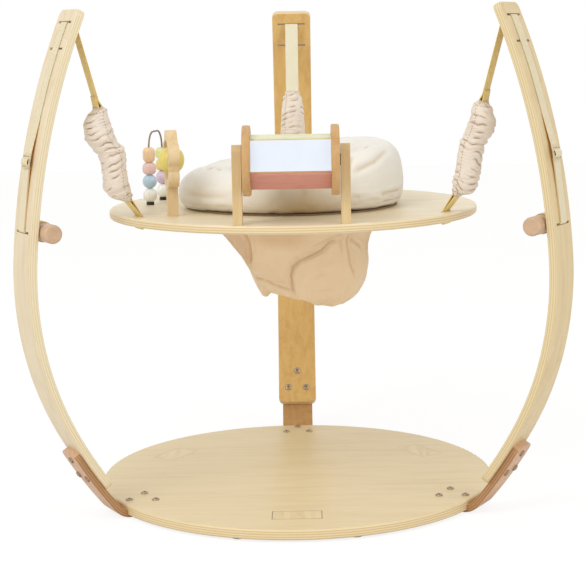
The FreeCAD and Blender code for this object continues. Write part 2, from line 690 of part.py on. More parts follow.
# the upper slots run square to the arm's face, the low one runs level
slots = []
for alias in ("slot_top", "slot_spare"):
    out = arm_out(size(alias))
    sideways = Vector(0, 1, 0)
    upward = out.cross(sideways)
    slot = doc.addObject("Part::Box", alias)
    slot.setExpression("Length", "3 * Sizes.arm_thick")
    slot.setExpression("Width", "Sizes.slot_long")
    slot.setExpression("Height", "Sizes.slot_high")
    corner = (arm_face(size(alias), -2 * size("arm_thick")) - sideways * (size("slot_long") / 2)
              - upward * (size("slot_high") / 2))
    slot.Placement = Placement(corner, Rotation(out, sideways, upward, "XYZ"))
    slots.append(slot)
arm_cut = cut_from("arm_drilled", arm, fused("arm_holes", holes + slots))
bracket_cut = cut_from("bracket_drilled", bracket, fused("bracket_holes", holes + sunk))
doc.recompute()
turned_copies("arm", arm_cut)
turned_copies("bracket", bracket_cut)
for label, group in (("arm_bolts", bolts[:3]), ("base_bolts", bolts[3:])):
    shapes = []
    for degrees in ARMS.values():
        for bolt in group:
            copy = bolt.Shape.copy()
            copy.Placement = turn(degrees).multiply(copy.Placement)
            shapes.append(copy)
    node(label, feature(label, Part.makeCompound(shapes)))

# ---------------------------------------------------------------- straps
ply = size("strap_thick")
air = size("strap_air")
wide = size("strap_wide")
bend = size("strap_turn")

# hanging lines: slot to spring, along the spring, spring to tray
hang_top = arm_face(size("slot_top"), -size("arm_thick") - bend)
hang_low = flat(size("tray_slot_reach"), size("tray_top"))
pin_high = flat(size("spring_top_reach"), size("spring_top"))
pin_low = flat(size("spring_low_reach"), size("spring_low"))
upper_pull = (hang_top - pin_high).normalize()
hang = (pin_high - pin_low).normalize()
lower_pull = (pin_low - hang_low).normalize()
loop_inner = size("pin_radius") + air
loop_outer = loop_inner + ply

# run on the outer face of the arm, from the upper slot down to where it leaves the arm
lie = air + ply / 2
hug_from, hug_to = size("slot_top") - 9, size("glide_height") + 68
p_from, p_to = arm_face(hug_from, lie), arm_face(hug_to, lie)
t_from, t_to = arm_out(hug_from), arm_out(hug_to)
down_from, down_to = Vector(t_from.z, 0, -t_from.x), Vector(t_to.z, 0, -t_to.x)
swing = math.acos(max(-1.0, min(1.0, down_from.dot(down_to))))
tangent = (size("upper_radius") + lie) * math.tan(swing / 2)
hug_corner = p_from + down_from * tangent

# adjuster: three bars across the webbing, set off the arm
glide_out = arm_out(size("glide_height"))
glide_down = Vector(glide_out.z, 0, -glide_out.x)
glide = arm_face(size("glide_height"), size("glide_stand"))
bar, pitch = size("glide_bar"), size("glide_pitch")
over = bar + 2 * air + 1.5 * ply
under = -(bar + air + ply / 2)
second = under - ply - air


def by_glide(down, out):
    return glide + glide_down * down + glide_out * out


# through the lower slot and round the toggle dowel
slot_low = size("slot_low")
plies = (ply + air) / 2
toggle_level = slot_low - size("toggle_drop")
toggle_reach = (level_cross(toggle_level, -size("arm_thick")).x
                - size("toggle_radius") - 2 * air - ply)
toggle = flat(toggle_reach, toggle_level)
ring_inner = size("toggle_radius") + air
ring_outer = ring_inner + ply
mouth = level_cross(slot_low, 0)
outer_mouth = flat(mouth.x + 1.5 * ply + 2 * air, slot_low - plies)
inner_mouth = flat(mouth.x + ply / 2 + air, slot_low + plies)
ring_reach = toggle.x + math.sqrt(ring_inner ** 2 - size("toggle_drop") ** 2)
steep = bar + ply

main_points = [pin_high + upper_pull * (loop_inner + ply / 2),
               hang_top, arm_face(size("slot_top"), lie), hug_corner, p_to + down_to * 2,
               by_glide(-pitch - 6, under), by_glide(-pitch + 1.5, under),
               by_glide(-3.2, over), by_glide(3.2, over),
               by_glide(pitch - 1.5, under), by_glide(pitch + 8, under),
               outer_mouth, flat(ring_reach, outer_mouth.z)]
main_bends = [bend, bend, size("upper_radius") + lie, 30, bend * 2, bend, bend, bend, bend, bend * 2, bend]
sewn_points = [by_glide(0, under + air), by_glide(4, under + air), by_glide(pitch - 1, second),
               by_glide(pitch + 9, second), inner_mouth, flat(ring_reach, inner_mouth.z)]
sewn_bends = [bend, bend, bend * 2, bend]
main = widen(ribbon(main_points, main_bends, ply), wide)
sewn = widen(ribbon(sewn_points, sewn_bends, ply), wide)


def loop_round(point, inner, outer):
    """Webbing turned round a bar."""
    ring = rod_y(point.x, point.z, outer, wide)
    return ring.cut(rod_y(point.x, point.z, inner, wide + 2))


def eye_for_stem(pin, way):
    """Hole through a webbing loop, where the spring's stem leaves the pin."""
    return Part.makeCylinder(size("pin_radius") + 2 * air, 2 * loop_outer, pin, way)


strap = main.fuse([sewn, loop_round(pin_high, loop_inner, loop_outer),
                   loop_round(glide, bar + air, bar + air + ply),
                   loop_round(toggle, ring_inner, ring_outer)])
strap = strap.cut(rod_y(toggle.x, toggle.z, ring_inner, wide + 2))
strap = strap.cut(rod_y(pin_high.x, pin_high.z, loop_inner, wide + 2))
strap = strap.cut(eye_for_stem(pin_high, -hang)).removeSplitter()
turned_copies("strap", feature("strap_master", strap))

# adjuster: a frame with a middle bar
half_wide = size("glide_wide") / 2
cheek = half_wide - wide / 2 - air
bars = [Part.makeCylinder(bar, size("glide_wide"), by_glide(k * pitch, 0) - Vector(0, half_wide, 0), Vector(0, 1, 0))
        for k in (-1, 0, 1)]
for hand in (-1, 1):
    a = by_glide(-pitch, 0)
    cheek_bar = Part.makeBox(2 * pitch, cheek, 2 * bar)
    spot = a + Vector(0, hand * half_wide - (cheek if hand > 0 else 0), 0) - glide_out * bar
    frame_turn = Rotation(glide_down, Vector(0, 1, 0), glide_out, "XYZ")
    cheek_bar.Placement = Placement(spot, frame_turn)
    bars.append(cheek_bar)
turned_copies("adjuster", feature("adjuster_master", bars[0].fuse(bars[1:]).removeSplitter()))

# toggle dowel with rounded ends
dowel = doc.addObject("PartDesign::Body", "dowel")
dowel_sketch = sketch_on(dowel, "XZ_Plane", "dowel_end")
circle(dowel_sketch, "end", "0", "0", "Sizes.toggle_radius")
extrude(dowel, dowel_sketch, "Sizes.toggle_long", symmetric=True)
fillet(dowel, lambda e: isinstance(e.Curve, Part.Circle), "Sizes.toggle_soften")
dowel.Placement = Placement(toggle, Rotation())
doc.recompute()
turned_copies("toggle", dowel)

# ---------------------------------------------------------------- springs and sleeves
pin_r, stem = size("pin_radius"), size("pin_stem")
span = (pin_high - pin_low).Length
coil_long = span - 2 * stem
turns = int(size("spring_turns"))
step = coil_long / turns
coil_outer, coil_inner = size("spring_radius"), size("spring_bore")
rows = [Vector(coil_inner, 0, 0)]
edges = []
here = Vector(coil_outer - 1, 0, 0)
edges.append(Part.LineSegment(Vector(coil_inner, 0, 0), here).toShape())
for k in range(turns):
    mid = Vector(coil_outer, 0, (k + 0.5) * step)
    there = Vector(coil_outer - 1, 0, (k + 1) * step)
    edges.append(Part.Arc(here, mid, there).toShape())
    here = there
edges.append(Part.LineSegment(here, Vector(coil_inner, 0, coil_long)).toShape())
edges.append(Part.LineSegment(Vector(coil_inner, 0, coil_long), Vector(coil_inner, 0, 0)).toShape())
coil = Part.Face(Part.Wire(edges)).revolve(Vector(0, 0, 0), Vector(0, 0, 1), 360)
plug = Part.makeCylinder(coil_inner + 1, 2)
spring_parts = [coil]
for end_z, way in ((0.0, -1), (coil_long, 1)):
    lid = Part.makeCylinder(coil_inner + 0.5, 2, Vector(0, 0, end_z if way < 0 else end_z - 2))
    rod = Part.makeCylinder(pin_r, stem, Vector(0, 0, end_z - stem if way < 0 else end_z))
    cross_z = end_z + way * stem
    cross = Part.makeCylinder(pin_r, size("pin_long"), Vector(0, -size("pin_long") / 2, cross_z), Vector(0, 1, 0))
    spring_parts += [lid, rod, cross]
spring = spring_parts[0].fuse(spring_parts[1:]).removeSplitter()
spring_place = Placement(pin_low + hang * stem, along(hang))
spring.Placement = spring_place
turned_copies("spring", feature("spring_master", spring))

sleeve_low = pin_low - hang * size("sleeve_over")
sleeve_long = span + 2 * size("sleeve_over")
tube = Part.makeCylinder(size("sleeve_radius"), sleeve_long).cut(Part.makeCylinder(size("sleeve_bore"), sleeve_long))
tube.Placement = Placement(sleeve_low, along(hang))
turned_copies("sleeve", feature("sleeve_master", tube))

# short webbing from the spring through the tray, held by a peg below it
tray_low = size("tray_top") - size("tray_thick")
peg = flat(size("tray_slot_reach"), tray_low - size("peg_radius") - 2 * air - ply)
double = 2 * ply
peg_inner = size("peg_radius") + air
entry = flat(size("tray_slot_reach"), size("tray_top") + 1)
short_points = [pin_low - lower_pull * (loop_inner + ply / 2), entry, peg + Vector(0, 0, peg_inner + ply / 2)]
short = widen(ribbon(short_points, [bend], double), wide)
short = short.fuse([loop_round(pin_low, loop_inner, loop_outer), loop_round(peg, peg_inner, peg_inner + ply)])
short = short.cut(eye_for_stem(pin_low, hang))
turned_copies("tray_strap", feature("tray_strap_master", short.removeSplitter()))
pegs = []
for degrees in ARMS.values():
    rod = rod_y(peg.x, peg.z, size("peg_radius"), size("peg_long"))
    rod.Placement = turn(degrees)
    pegs.append(rod)
node("tray_pegs", feature("tray_pegs", Part.makeCompound(pegs)))

# ---------------------------------------------------------------- tray
tray = doc.addObject("PartDesign::Body", "tray_board")
tray_sketch = sketch_on(tray, "XY_Plane", "tray_disc")
tray_sketch.setExpression("AttachmentOffset.Base.z", "Sizes.tray_top - Sizes.tray_thick")
circle(tray_sketch, "rim", "0", "0", "Sizes.tray_radius")
circle(tray_sketch, "hole", "0", "0", "Sizes.tray_hole")
extrude(tray, tray_sketch, "Sizes.tray_thick")
fillet(tray, lambda e: abs(e.Curve.Radius - size("tray_radius")) < 0.01 if isinstance(e.Curve, Part.Circle) else False,
       "Sizes.edge_round")
strap_slot = sketch_on(tray, "XY_Plane", "strap_slots")
box_lines(strap_slot, "slot", "Sizes.tray_slot_reach - Sizes.slot_high / 2", "-Sizes.tray_slot_long / 2",
          "Sizes.slot_high", "Sizes.tray_slot_long")
slot_cut = extrude(tray, strap_slot, "2 * Sizes.tray_top", reverse=True, cut=True)
polar_pattern(tray, [slot_cut])
tray.Placement = turn(90)
doc.recompute()

# mortises for the drum posts, the flower stem and the wire feet
gap = "2 * Sizes.joint_gap"
post_x = size("prism_long") / 2 + size("disc_thick") + size("washer_thick")
mortises = []


def mortise(long_formula, wide_formula, centre, degrees):
    box = doc.addObject("Part::Box", "mortise")
    box.setExpression("Length", long_formula)
    box.setExpression("Width", wide_formula)
    box.setExpression("Height", "Sizes.tray_thick + 20")
    l, w = evaluate(long_formula), evaluate(wide_formula)
    box.Placement = turn(degrees, centre.x, centre.y, tray_low - 10).multiply(
        Placement(Vector(-l / 2, -w / 2, 0), Rotation()))
    mortises.append(box)


for hand in (-1, 1):
    mortise(f"Sizes.post_thick + {gap}", f"Sizes.tenon_wide + {gap}",
            Vector(hand * (post_x + size("post_thick") / 2), -size("drum_reach"), 0), 0)
flower_spot = polar(size("flower_reach"), size("flower_angle"))
mortise(f"Sizes.stem_wide + {gap}", f"Sizes.flower_thick + {gap}", flower_spot, size("flower_face"))
wire_spot = polar(size("wire_reach"), size("wire_angle"))
wire_turn = size("wire_face")
for hand in (-1, 1):
    spot = wire_spot + polar(hand * size("wire_apart") / 2, wire_turn) + Vector(0, 0, tray_low - 10)
    mortises.append(cylinder("wire_hole", "Sizes.wire_radius + Sizes.bolt_fit", "Sizes.tray_thick + 20",
                             Placement(spot, Rotation())))
tray_cut = cut_from("tray_cut", tray, fused("mortises", mortises))
node("tray", tray_cut)
doc.recompute()

# ---------------------------------------------------------------- seat
ride = size("tray_top") + size("ring_gap")
spigot = size("tray_hole") - size("ring_gap")
ring_in = spigot - size("ring_wall")
keeper_top = tray_low - size("ring_gap")
keeper_low = keeper_top - size("keeper_thick")


def revolved(points):
    """Ring from its half section, points as (radius, height)."""
    corners = [flat(r, z) for r, z in points]
    wire = Part.makePolygon(corners + [corners[0]])
    return Part.Face(wire).revolve(Vector(0, 0, 0), Vector(0, 0, 1), 360)


seat_ring = revolved([(ring_in, keeper_low), (spigot, keeper_low), (spigot, ride),
                      (size("flange_radius"), ride), (size("flange_radius"), ride + size("flange_thick")),
                      (ring_in, ride + size("flange_thick"))])
node("seat_ring", feature("seat_ring", seat_ring))
keeper = revolved([(spigot + 0.1, keeper_low), (size("keeper_radius"), keeper_low),
                   (size("keeper_radius"), keeper_top), (spigot + 0.1, keeper_top)])
node("seat_keeper", feature("seat_keeper", keeper))

# padded collar: a soft section turned round the opening, its crest rising to the back
crest = size("cushion_high")
out_r, in_r = size("cushion_radius"), size("cushion_inner")
sole = ride + size("flange_thick") + size("ring_gap")
wide_r = out_r - in_r
SOFT = [(0.97, 0), (1.02, 0.2), (1.0, 0.46), (0.93, 0.73), (0.72, 0.94), (0.34, 1.0), (0.09, 0.92),
        (-0.03, 0.65), (0.0, 0.3), (0.05, 0)]
soft = [flat(in_r + across_share * wide_r, sole + up_share * crest) for across_share, up_share in SOFT]
section = Part.BSplineCurve()
section.interpolate(soft)
skin = Part.SurfaceOfRevolution(section, Vector(0, 0, 0), Vector(0, 0, 1)).toShape().toNurbs().Faces[0].Surface
back = math.radians(size("seat_back"))
for i in range(1, skin.NbUPoles + 1):
    for j in range(1, skin.NbVPoles + 1):
        pole = skin.getPole(i, j)
        lean = size("cushion_rise") * (pole.z - sole) / crest
        pole.z += lean * (pole.x * math.cos(back) + pole.y * math.sin(back))
        skin.setPole(i, j, pole, skin.getWeight(i, j))
upper = skin.toShape()
rims = [Part.Wire([e]) for e in upper.Edges
        if all(abs(v.Point.z - sole) < 0.01 for v in e.Vertexes)
        and abs(e.BoundBox.ZMax - sole) < 1 and abs(e.BoundBox.ZMin - sole) < 1]
rims.sort(key=lambda w: -w.Length)
under = Part.Face(rims[:2])
collar = Part.makeShell([upper, under])
collar.sewShape()
collar = Part.makeSolid(collar)
if collar.Volume < 0:
    collar.reverse()
node("seat_cushion", feature("seat_cushion", collar))

# cloth seat hanging in the ring, its bottom set to the back
bag_body = doc.addObject("PartDesign::Body", "bag_shell")
bag_top = ride + size("flange_thick") - 2
BAG_TOP = "(Sizes.tray_top + Sizes.ring_gap + Sizes.flange_thick - 2)"
BAG_FALL = f"({BAG_TOP} - Sizes.bag_low)"
BAG_OUT = "(Sizes.tray_hole - Sizes.ring_gap - Sizes.ring_wall - 0.3)"
LEVELS = [("rim", 0.0, 1.0, 0.0), ("neck", 0.13, 0.96, 0.0), ("waist", 0.32, 0.81, 0.14),
          ("hip", 0.62, 0.69, 0.44), ("thigh", 0.83, 0.59, 0.53), ("low", 0.94, 0.45, 0.62), ("sole", 1.0, 0.3, 0.76)]


def bag_sketches(tag, inset):
    made = []
    for name, fall, share, shift in LEVELS:
        sketch = sketch_on(bag_body, "XY_Plane", f"{tag}_{name}")
        extra = 1.0 if inset and fall == 0.0 else 0.0
        level = f"{BAG_TOP} - {fall} * ({BAG_FALL} - {inset}) + {extra}"
        sketch.setExpression("AttachmentOffset.Base.z", level)
        circle(sketch, name, f"{shift} * Sizes.bag_set", "0", f"{share} * {BAG_OUT} - {inset}")
        made.append(sketch)
    return made


outside = bag_sketches("outer", "0 * Sizes.bag_wall")
loft = bag_body.newObject("PartDesign::AdditiveLoft", "Outer")
loft.Profile = outside[0]
loft.Sections = outside[1:]
bag_body.Tip = loft
doc.recompute()
full_volume = bag_body.Shape.Volume
inside = bag_sketches("inner", "Sizes.bag_wall")
hollow = bag_body.newObject("PartDesign::SubtractiveLoft", "Inner")
hollow.Profile = inside[0]
hollow.Sections = inside[1:]
bag_body.Tip = hollow
bag_body.Placement = turn(size("seat_back"))
doc.recompute()
if bag_body.Shape.Volume > 0.6 * full_volume:
    raise RuntimeError("the cloth seat was not hollowed")
legs = []
for hand in (-1, 1):
    way = size("seat_back") + 180 + hand * size("leg_spread")
    dip = math.radians(size("leg_dip"))
    aim = polar(math.cos(dip), way, -math.sin(dip))
    start = polar(size("leg_reach"), way, size("leg_height")) - aim * size("leg_radius") * 0.6
    legs.append(cylinder("leg_hole", "Sizes.leg_radius", "Sizes.tray_hole",
                         Placement(start, along(aim))))
bag_cut = cut_from("seat_bag", bag_body, fused("leg_holes", legs))
node("seat_bag", bag_cut)
doc.recompute()

# ---------------------------------------------------------------- drum
axis_z = size("tray_top") + size("drum_height")
axis_y = -size("drum_reach")


def across(x, radius_formula, length_formula):
    """Cylinder along X on the drum axis, from x."""
    return cylinder("drum_round", radius_formula, length_formula,
                    Placement(Vector(x, axis_y, axis_z), along(Vector(1, 0, 0))))


half_prism = size("prism_long") / 2
bore = "Sizes.axle_radius + Sizes.axle_fit"
for name, x in (("left", -half_prism - size("disc_thick")), ("right", half_prism)):
    plain = across(x, "Sizes.disc_radius", "Sizes.disc_thick")
    soft = doc.addObject("Part::Fillet", "disc_soft")
    soft.Base = plain
    doc.recompute()
    rims = [i + 1 for i, e in enumerate(plain.Shape.Edges) if isinstance(e.Curve, Part.Circle)]
    soft.Edges = [(i, 2.5, 2.5) for i in rims]
    doc.recompute()
    node(f"drum_disc_{name}", cut_from(f"drum_disc_{name}", soft, across(x - 1, bore, "Sizes.disc_thick + 2")))


def prism_corner(k, radius):
    angle = math.radians(54 - size("prism_turn") + 72 * k)
    return Vector(0, -radius * math.cos(angle), radius * math.sin(angle))


centre = Vector(0, axis_y, axis_z)
corners = [centre + prism_corner(k, size("prism_radius")) - Vector(half_prism, 0, 0) for k in range(5)]
core = Part.Face(Part.makePolygon(corners + [corners[0]])).extrude(Vector(size("prism_long"), 0, 0))
core = core.cut(Part.makeCylinder(size("axle_radius") + size("axle_fit"), 2 * size("prism_long"),
                                  Vector(-size("prism_long"), axis_y, axis_z), Vector(1, 0, 0)))
node("drum_core", feature("drum_core", core))
PANELS = ["green", "yellow", "blue", "pink", "mirror"]
for k, colour in enumerate(PANELS):
    a, b = corners[k], corners[(k + 1) % 5]
    run = (b - a).normalize()
    out = (a + b) * 0.5 - (centre - Vector(half_prism, 0, 0))
    out.normalize()
    margin = size("panel_margin")
    length = (b - a).Length - 2 * margin
    panel = Part.makeBox(size("prism_long") - 0.4, length, size("panel_thick"))
    turned = Rotation(Vector(1, 0, 0), run, Vector(1, 0, 0).cross(run), "XYZ")
    flip = Vector(1, 0, 0).cross(run).dot(out) < 0
    spot = a + run * margin + Vector(0.2, 0, 0)
    if flip:
        spot = spot + out * size("panel_thick")
    panel.Placement = Placement(spot, turned)
    node(f"drum_panel_{colour}", feature(f"drum_panel_{colour}", panel))

post_out = post_x + size("post_thick")
for name, hand in (("left", -1), ("right", 1)):
    post = doc.addObject("PartDesign::Body", f"post_{name}")
    view = sketch_on(post, "YZ_Plane", f"post_side_{name}")
    box_lines(view, "post", "-Sizes.drum_reach - Sizes.post_wide / 2", "Sizes.tray_top",
              "Sizes.post_wide", "Sizes.post_high")
    inner_x = post_x if hand > 0 else -post_out
    view.AttachmentOffset = Placement(Vector(0, 0, inner_x), Rotation())
    extrude(post, view, "Sizes.post_thick")

    def top_edge(edge):
        middle = edge.CenterOfMass
        level = size("tray_top") + size("post_high")
        return (abs(middle.z - level) < 0.01 and abs(edge.Length - size("post_thick")) < 0.01
                and isinstance(edge.Curve, Part.Line))

    fillet(post, top_edge, "Sizes.post_round")
    tenon = sketch_on(post, "YZ_Plane", f"tenon_{name}")
    box_lines(tenon, "tenon", "-Sizes.drum_reach - Sizes.tenon_wide / 2", "Sizes.tray_top - Sizes.tray_thick",
              "Sizes.tenon_wide", "Sizes.tray_thick")
    tenon.AttachmentOffset = Placement(Vector(0, 0, inner_x), Rotation())
    extrude(post, tenon, "Sizes.post_thick")
    doc.recompute()
    node(f"drum_post_{name}", cut_from(f"drum_post_{name}", post, across(inner_x - 1, "Sizes.axle_radius",
                                                                        "Sizes.post_thick + 2")))
node("drum_axle", across(-post_out, "Sizes.axle_radius", "2 * (Sizes.prism_long / 2 + Sizes.disc_thick"
                         " + Sizes.washer_thick + Sizes.post_thick)"))
washers = []
for x in (-post_x + 0.1, post_x - size("washer_thick") + 0.1):
    washers.append(cut_from("washer", across(x, "Sizes.washer_radius", "Sizes.washer_thick - 0.2"),
                            across(x - 1, "Sizes.axle_radius + 0.1", "Sizes.washer_thick + 2")))
washer_pair = doc.addObject("Part::Compound", "drum_washers")
washer_pair.Links = washers
node("drum_washers", washer_pair)
doc.recompute()

# ---------------------------------------------------------------- flower
# built with its board in the XZ plane, then set on the tray
flower_mid = size("tray_top") + size("flower_height")
board_half = size("flower_thick") / 2


def slab(radius, x, z):
    return Part.makeCylinder(radius, size("flower_thick"), Vector(x, -board_half, z), Vector(0, 1, 0))


petals = []
for k in range(int(size("petal_count"))):
    angle = math.radians(90 + 360 * k / size("petal_count"))
    petals.append(slab(size("petal_radius"), size("petal_reach") * math.cos(angle),
                       flower_mid + size("petal_reach") * math.sin(angle)))
hub = slab(size("flower_bore") + size("flower_wall"), 0, flower_mid)
stem_board = Part.makeBox(size("stem_wide"), size("flower_thick"), size("flower_height") + size("tray_thick"),
                          Vector(-size("stem_wide") / 2, -board_half, tray_low))
flower = hub.fuse(petals + [stem_board]).cut(slab(size("flower_bore"), 0, flower_mid))
pin_low_z = flower_mid - size("flower_bore") - size("flower_wall")
pin_long = 2 * (size("flower_bore") + size("flower_wall"))
pin_hole = Part.makeCylinder(size("flower_pin"), pin_long, Vector(0, 0, pin_low_z))
flower = flower.cut(pin_hole).removeSplitter()
flower_place = turn(size("flower_face"), flower_spot.x, flower_spot.y, 0)
node("flower_board", feature("flower_board", flower, flower_place))
node("flower_rod", feature("flower_rod", pin_hole, flower_place))


def bead_section(profile, bore_radius):
    """Bead from its outer half section, points as (radius, height)."""
    points = [flat(r, z) for r, z in profile]
    outer = Part.BSplineCurve()
    outer.interpolate(points)
    low, high = points[0], points[-1]
    a, b = flat(bore_radius, low.z), flat(bore_radius, high.z)
    wire = Part.Wire([outer.toShape(), Part.LineSegment(high, b).toShape(),
                      Part.LineSegment(b, a).toShape(), Part.LineSegment(a, low).toShape()])
    return Part.Face(wire).revolve(Vector(0, 0, 0), Vector(0, 0, 1), 360)


egg_r, egg_h = size("egg_radius"), size("egg_high")
EGG = [(0.26, 0), (0.7, 0.12), (0.96, 0.36), (0.99, 0.56), (0.8, 0.83), (0.54, 0.94), (0.26, 1)]
egg = bead_section([(across_share * egg_r, up_share * egg_h) for across_share, up_share in EGG],
                   size("flower_pin") + size("axle_fit"))
node("flower_bead", feature("flower_bead", egg, turn(size("flower_face"), flower_spot.x, flower_spot.y,
                                                     flower_mid - egg_h / 2)))

# ---------------------------------------------------------------- bead wire
half_apart, wire_bend = size("wire_apart") / 2, size("wire_bend")
tray_top = size("tray_top")
wire_top = tray_top + size("wire_high")
shoulder = wire_top - wire_bend
cos45 = math.cos(math.pi / 4)
left_in, right_in = -half_apart + wire_bend, half_apart - wire_bend
path = Part.Wire([
    Part.LineSegment(flat(-half_apart, tray_low), flat(-half_apart, shoulder)).toShape(),
    Part.Arc(flat(-half_apart, shoulder), flat(left_in - wire_bend * cos45, shoulder + wire_bend * cos45),
             flat(left_in, wire_top)).toShape(),
    Part.LineSegment(flat(left_in, wire_top), flat(right_in, wire_top)).toShape(),
    Part.Arc(flat(right_in, wire_top), flat(right_in + wire_bend * cos45, shoulder + wire_bend * cos45),
             flat(half_apart, shoulder)).toShape(),
    Part.LineSegment(flat(half_apart, shoulder), flat(half_apart, tray_low)).toShape()])
ring_section = Part.Wire(Part.makeCircle(size("wire_radius"), flat(-half_apart, tray_low), Vector(0, 0, 1)))
wire = path.makePipeShell([ring_section], True, False)
wire_place = turn(wire_turn, wire_spot.x, wire_spot.y, 0)
node("bead_wire", feature("bead_wire", wire, wire_place))

ferrule_h, ferrule_r = size("ferrule_high"), size("ferrule_radius")
ferrules = []
for x in (-half_apart, half_apart):
    ferrules.append(Part.makeCylinder(ferrule_r, ferrule_h, flat(x, tray_top)).cut(
        Part.makeCylinder(size("wire_radius") + size("bolt_fit"), ferrule_h, flat(x, tray_top))))
node("wire_ferrules", feature("wire_ferrules", Part.makeCompound(ferrules), wire_place))

bead_bore = size("wire_radius") + size("bead_fit")
ball = size("ball_radius")


def ball_bead():
    h = 2 * math.sqrt(ball ** 2 - 4 ** 2)
    points = []
    for k in range(9):
        z = -h / 2 + h * k / 8
        points.append((math.sqrt(ball ** 2 - z ** 2), z + h / 2))
    return bead_section(points, bead_bore), h


def barrel_bead(barrel, high):
    return bead_section([(0.5 * barrel, 0), (0.86 * barrel, 0.14 * high), (barrel, 0.5 * high),
                         (0.86 * barrel, 0.86 * high), (0.5 * barrel, high)], bead_bore), high


def string_beads(x, beads):
    level = tray_top + ferrule_h + size("bead_air")
    for label, (shape, high) in beads:
        place = wire_place.multiply(Placement(flat(x, level), Rotation()))
        node(label, feature(label, shape, place))
        level += high + size("bead_air")


string_beads(half_apart, [("bead_white_near", ball_bead()), ("bead_blue", ball_bead()),
                          ("bead_pink", barrel_bead(size("barrel_radius"), size("barrel_high"))),
                          ("bead_peach", barrel_bead(size("tall_barrel_radius"), size("tall_barrel_high")))])
string_beads(-half_apart, [("bead_white_far", ball_bead()), ("bead_lilac", ball_bead()),
                           ("bead_yellow", barrel_bead(size("barrel_radius"), size("barrel_high"))),
                           ("bead_green", barrel_bead(size("barrel_radius"), size("barrel_high")))])

# ---------------------------------------------------------------- check and write
doc.recompute()
bad = [item.Name for item in doc.Objects if "Invalid" in item.State or "Error" in item.State]
if bad:
    raise RuntimeError(f"objects that did not compute: {bad}")
for item in nodes:
    if item.Shape.isNull() or not item.Shape.isValid() or item.Shape.Volume <= 0:
        raise RuntimeError(f"{item.Label} has no good shape")
for item in nodes:
    item.Shape.exportStep(os.path.join("parts", item.Label + ".step"))
    b = item.Shape.BoundBox
    print(f"{item.Label:20s} solids {len(item.Shape.Solids)} volume {item.Shape.Volume / 1000:9.2f} cm3 "
          f"x {b.XMin:7.1f} {b.XMax:7.1f} y {b.YMin:7.1f} {b.YMax:7.1f} z {b.ZMin:6.1f} {b.ZMax:6.1f}")
print(len(nodes), "nodes")
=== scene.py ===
"""Looks of a wooden baby jumper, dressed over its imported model.

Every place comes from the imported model's nodes, or from the sizes that each
class holds.  Lengths are metres, +Z is up, and the origin lies on the floor under
the middle of the round base.
"""
import logging
import math
from dataclasses import dataclass
from enum import Enum
from typing import Callable, Iterable, Sequence

import bmesh
import bpy
import numpy as np
from mathutils import Matrix, Vector, noise
from mathutils.bvhtree import BVHTree


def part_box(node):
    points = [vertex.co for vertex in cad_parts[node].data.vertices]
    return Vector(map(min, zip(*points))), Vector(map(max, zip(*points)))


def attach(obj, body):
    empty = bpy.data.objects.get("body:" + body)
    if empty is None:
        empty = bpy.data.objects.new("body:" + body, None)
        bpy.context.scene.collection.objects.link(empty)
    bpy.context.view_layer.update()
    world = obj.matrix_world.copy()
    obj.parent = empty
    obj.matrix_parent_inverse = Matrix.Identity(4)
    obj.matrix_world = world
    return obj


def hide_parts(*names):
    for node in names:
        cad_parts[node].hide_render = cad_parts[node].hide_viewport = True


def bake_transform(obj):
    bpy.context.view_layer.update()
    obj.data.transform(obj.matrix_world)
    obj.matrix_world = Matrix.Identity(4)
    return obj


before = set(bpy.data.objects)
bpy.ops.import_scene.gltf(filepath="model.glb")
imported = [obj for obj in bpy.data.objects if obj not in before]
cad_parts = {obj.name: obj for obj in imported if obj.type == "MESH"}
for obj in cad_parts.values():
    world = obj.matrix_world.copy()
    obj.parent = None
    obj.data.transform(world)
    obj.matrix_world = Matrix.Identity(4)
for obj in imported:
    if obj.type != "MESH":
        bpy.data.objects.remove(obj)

LOG = logging.getLogger("jumper")
Colour = tuple[int, int, int]
Pair = tuple[float, float]
Triple = tuple[float, float, float]
Socket = bpy.types.NodeSocket
Material = bpy.types.Material
Piece = bpy.types.Object
UPRIGHT = (0.0, 0.0, 1.0)


# -------------------- choices
class Side(Enum):
    """The three bent arms, with the direction in which each stands."""

    REAR = ("rear", 90.0)
    LEFT = ("left", 210.0)
    RIGHT = ("right", 330.0)

    @property
    def label(self) -> str:
        """Ending of the names of the nodes that belong to this arm."""
        return self.value[0]

    @property
    def degrees(self) -> float:
        """Direction of the arm from the middle, in degrees."""
        return self.value[1]

    def place(self, reach: float, across: float, height: float) -> Vector:
        """Point of the arm's own plane, in the frame of the whole object.

        Args:
            reach: Distance outwards from the middle.
            across: Distance to the left of the arm's plane.
            height: Height above the floor.

        Returns:
            The point in metres.
        """
        angle = math.radians(self.degrees)
        return Vector((reach * math.cos(angle) - across * math.sin(angle),
                       reach * math.sin(angle) + across * math.cos(angle), height))


class Layers(Enum):
    """How the glued layers of a plywood piece lie."""

    NONE = "solid wood"
    LEVEL = "flat board"
    ARM = "bent along the arm"
    BRACKET = "bent round the bracket"


# -------------------- colours
def linear(colour: Colour) -> tuple[float, float, float, float]:
    """Turn a display colour of three numbers up to 255 into the renderer's own."""
    parts = [c / 255 for c in colour]
    return tuple(p / 12.92 if p <= 0.04045 else ((p + 0.055) / 1.055) ** 2.4 for p in parts) + (1.0,)


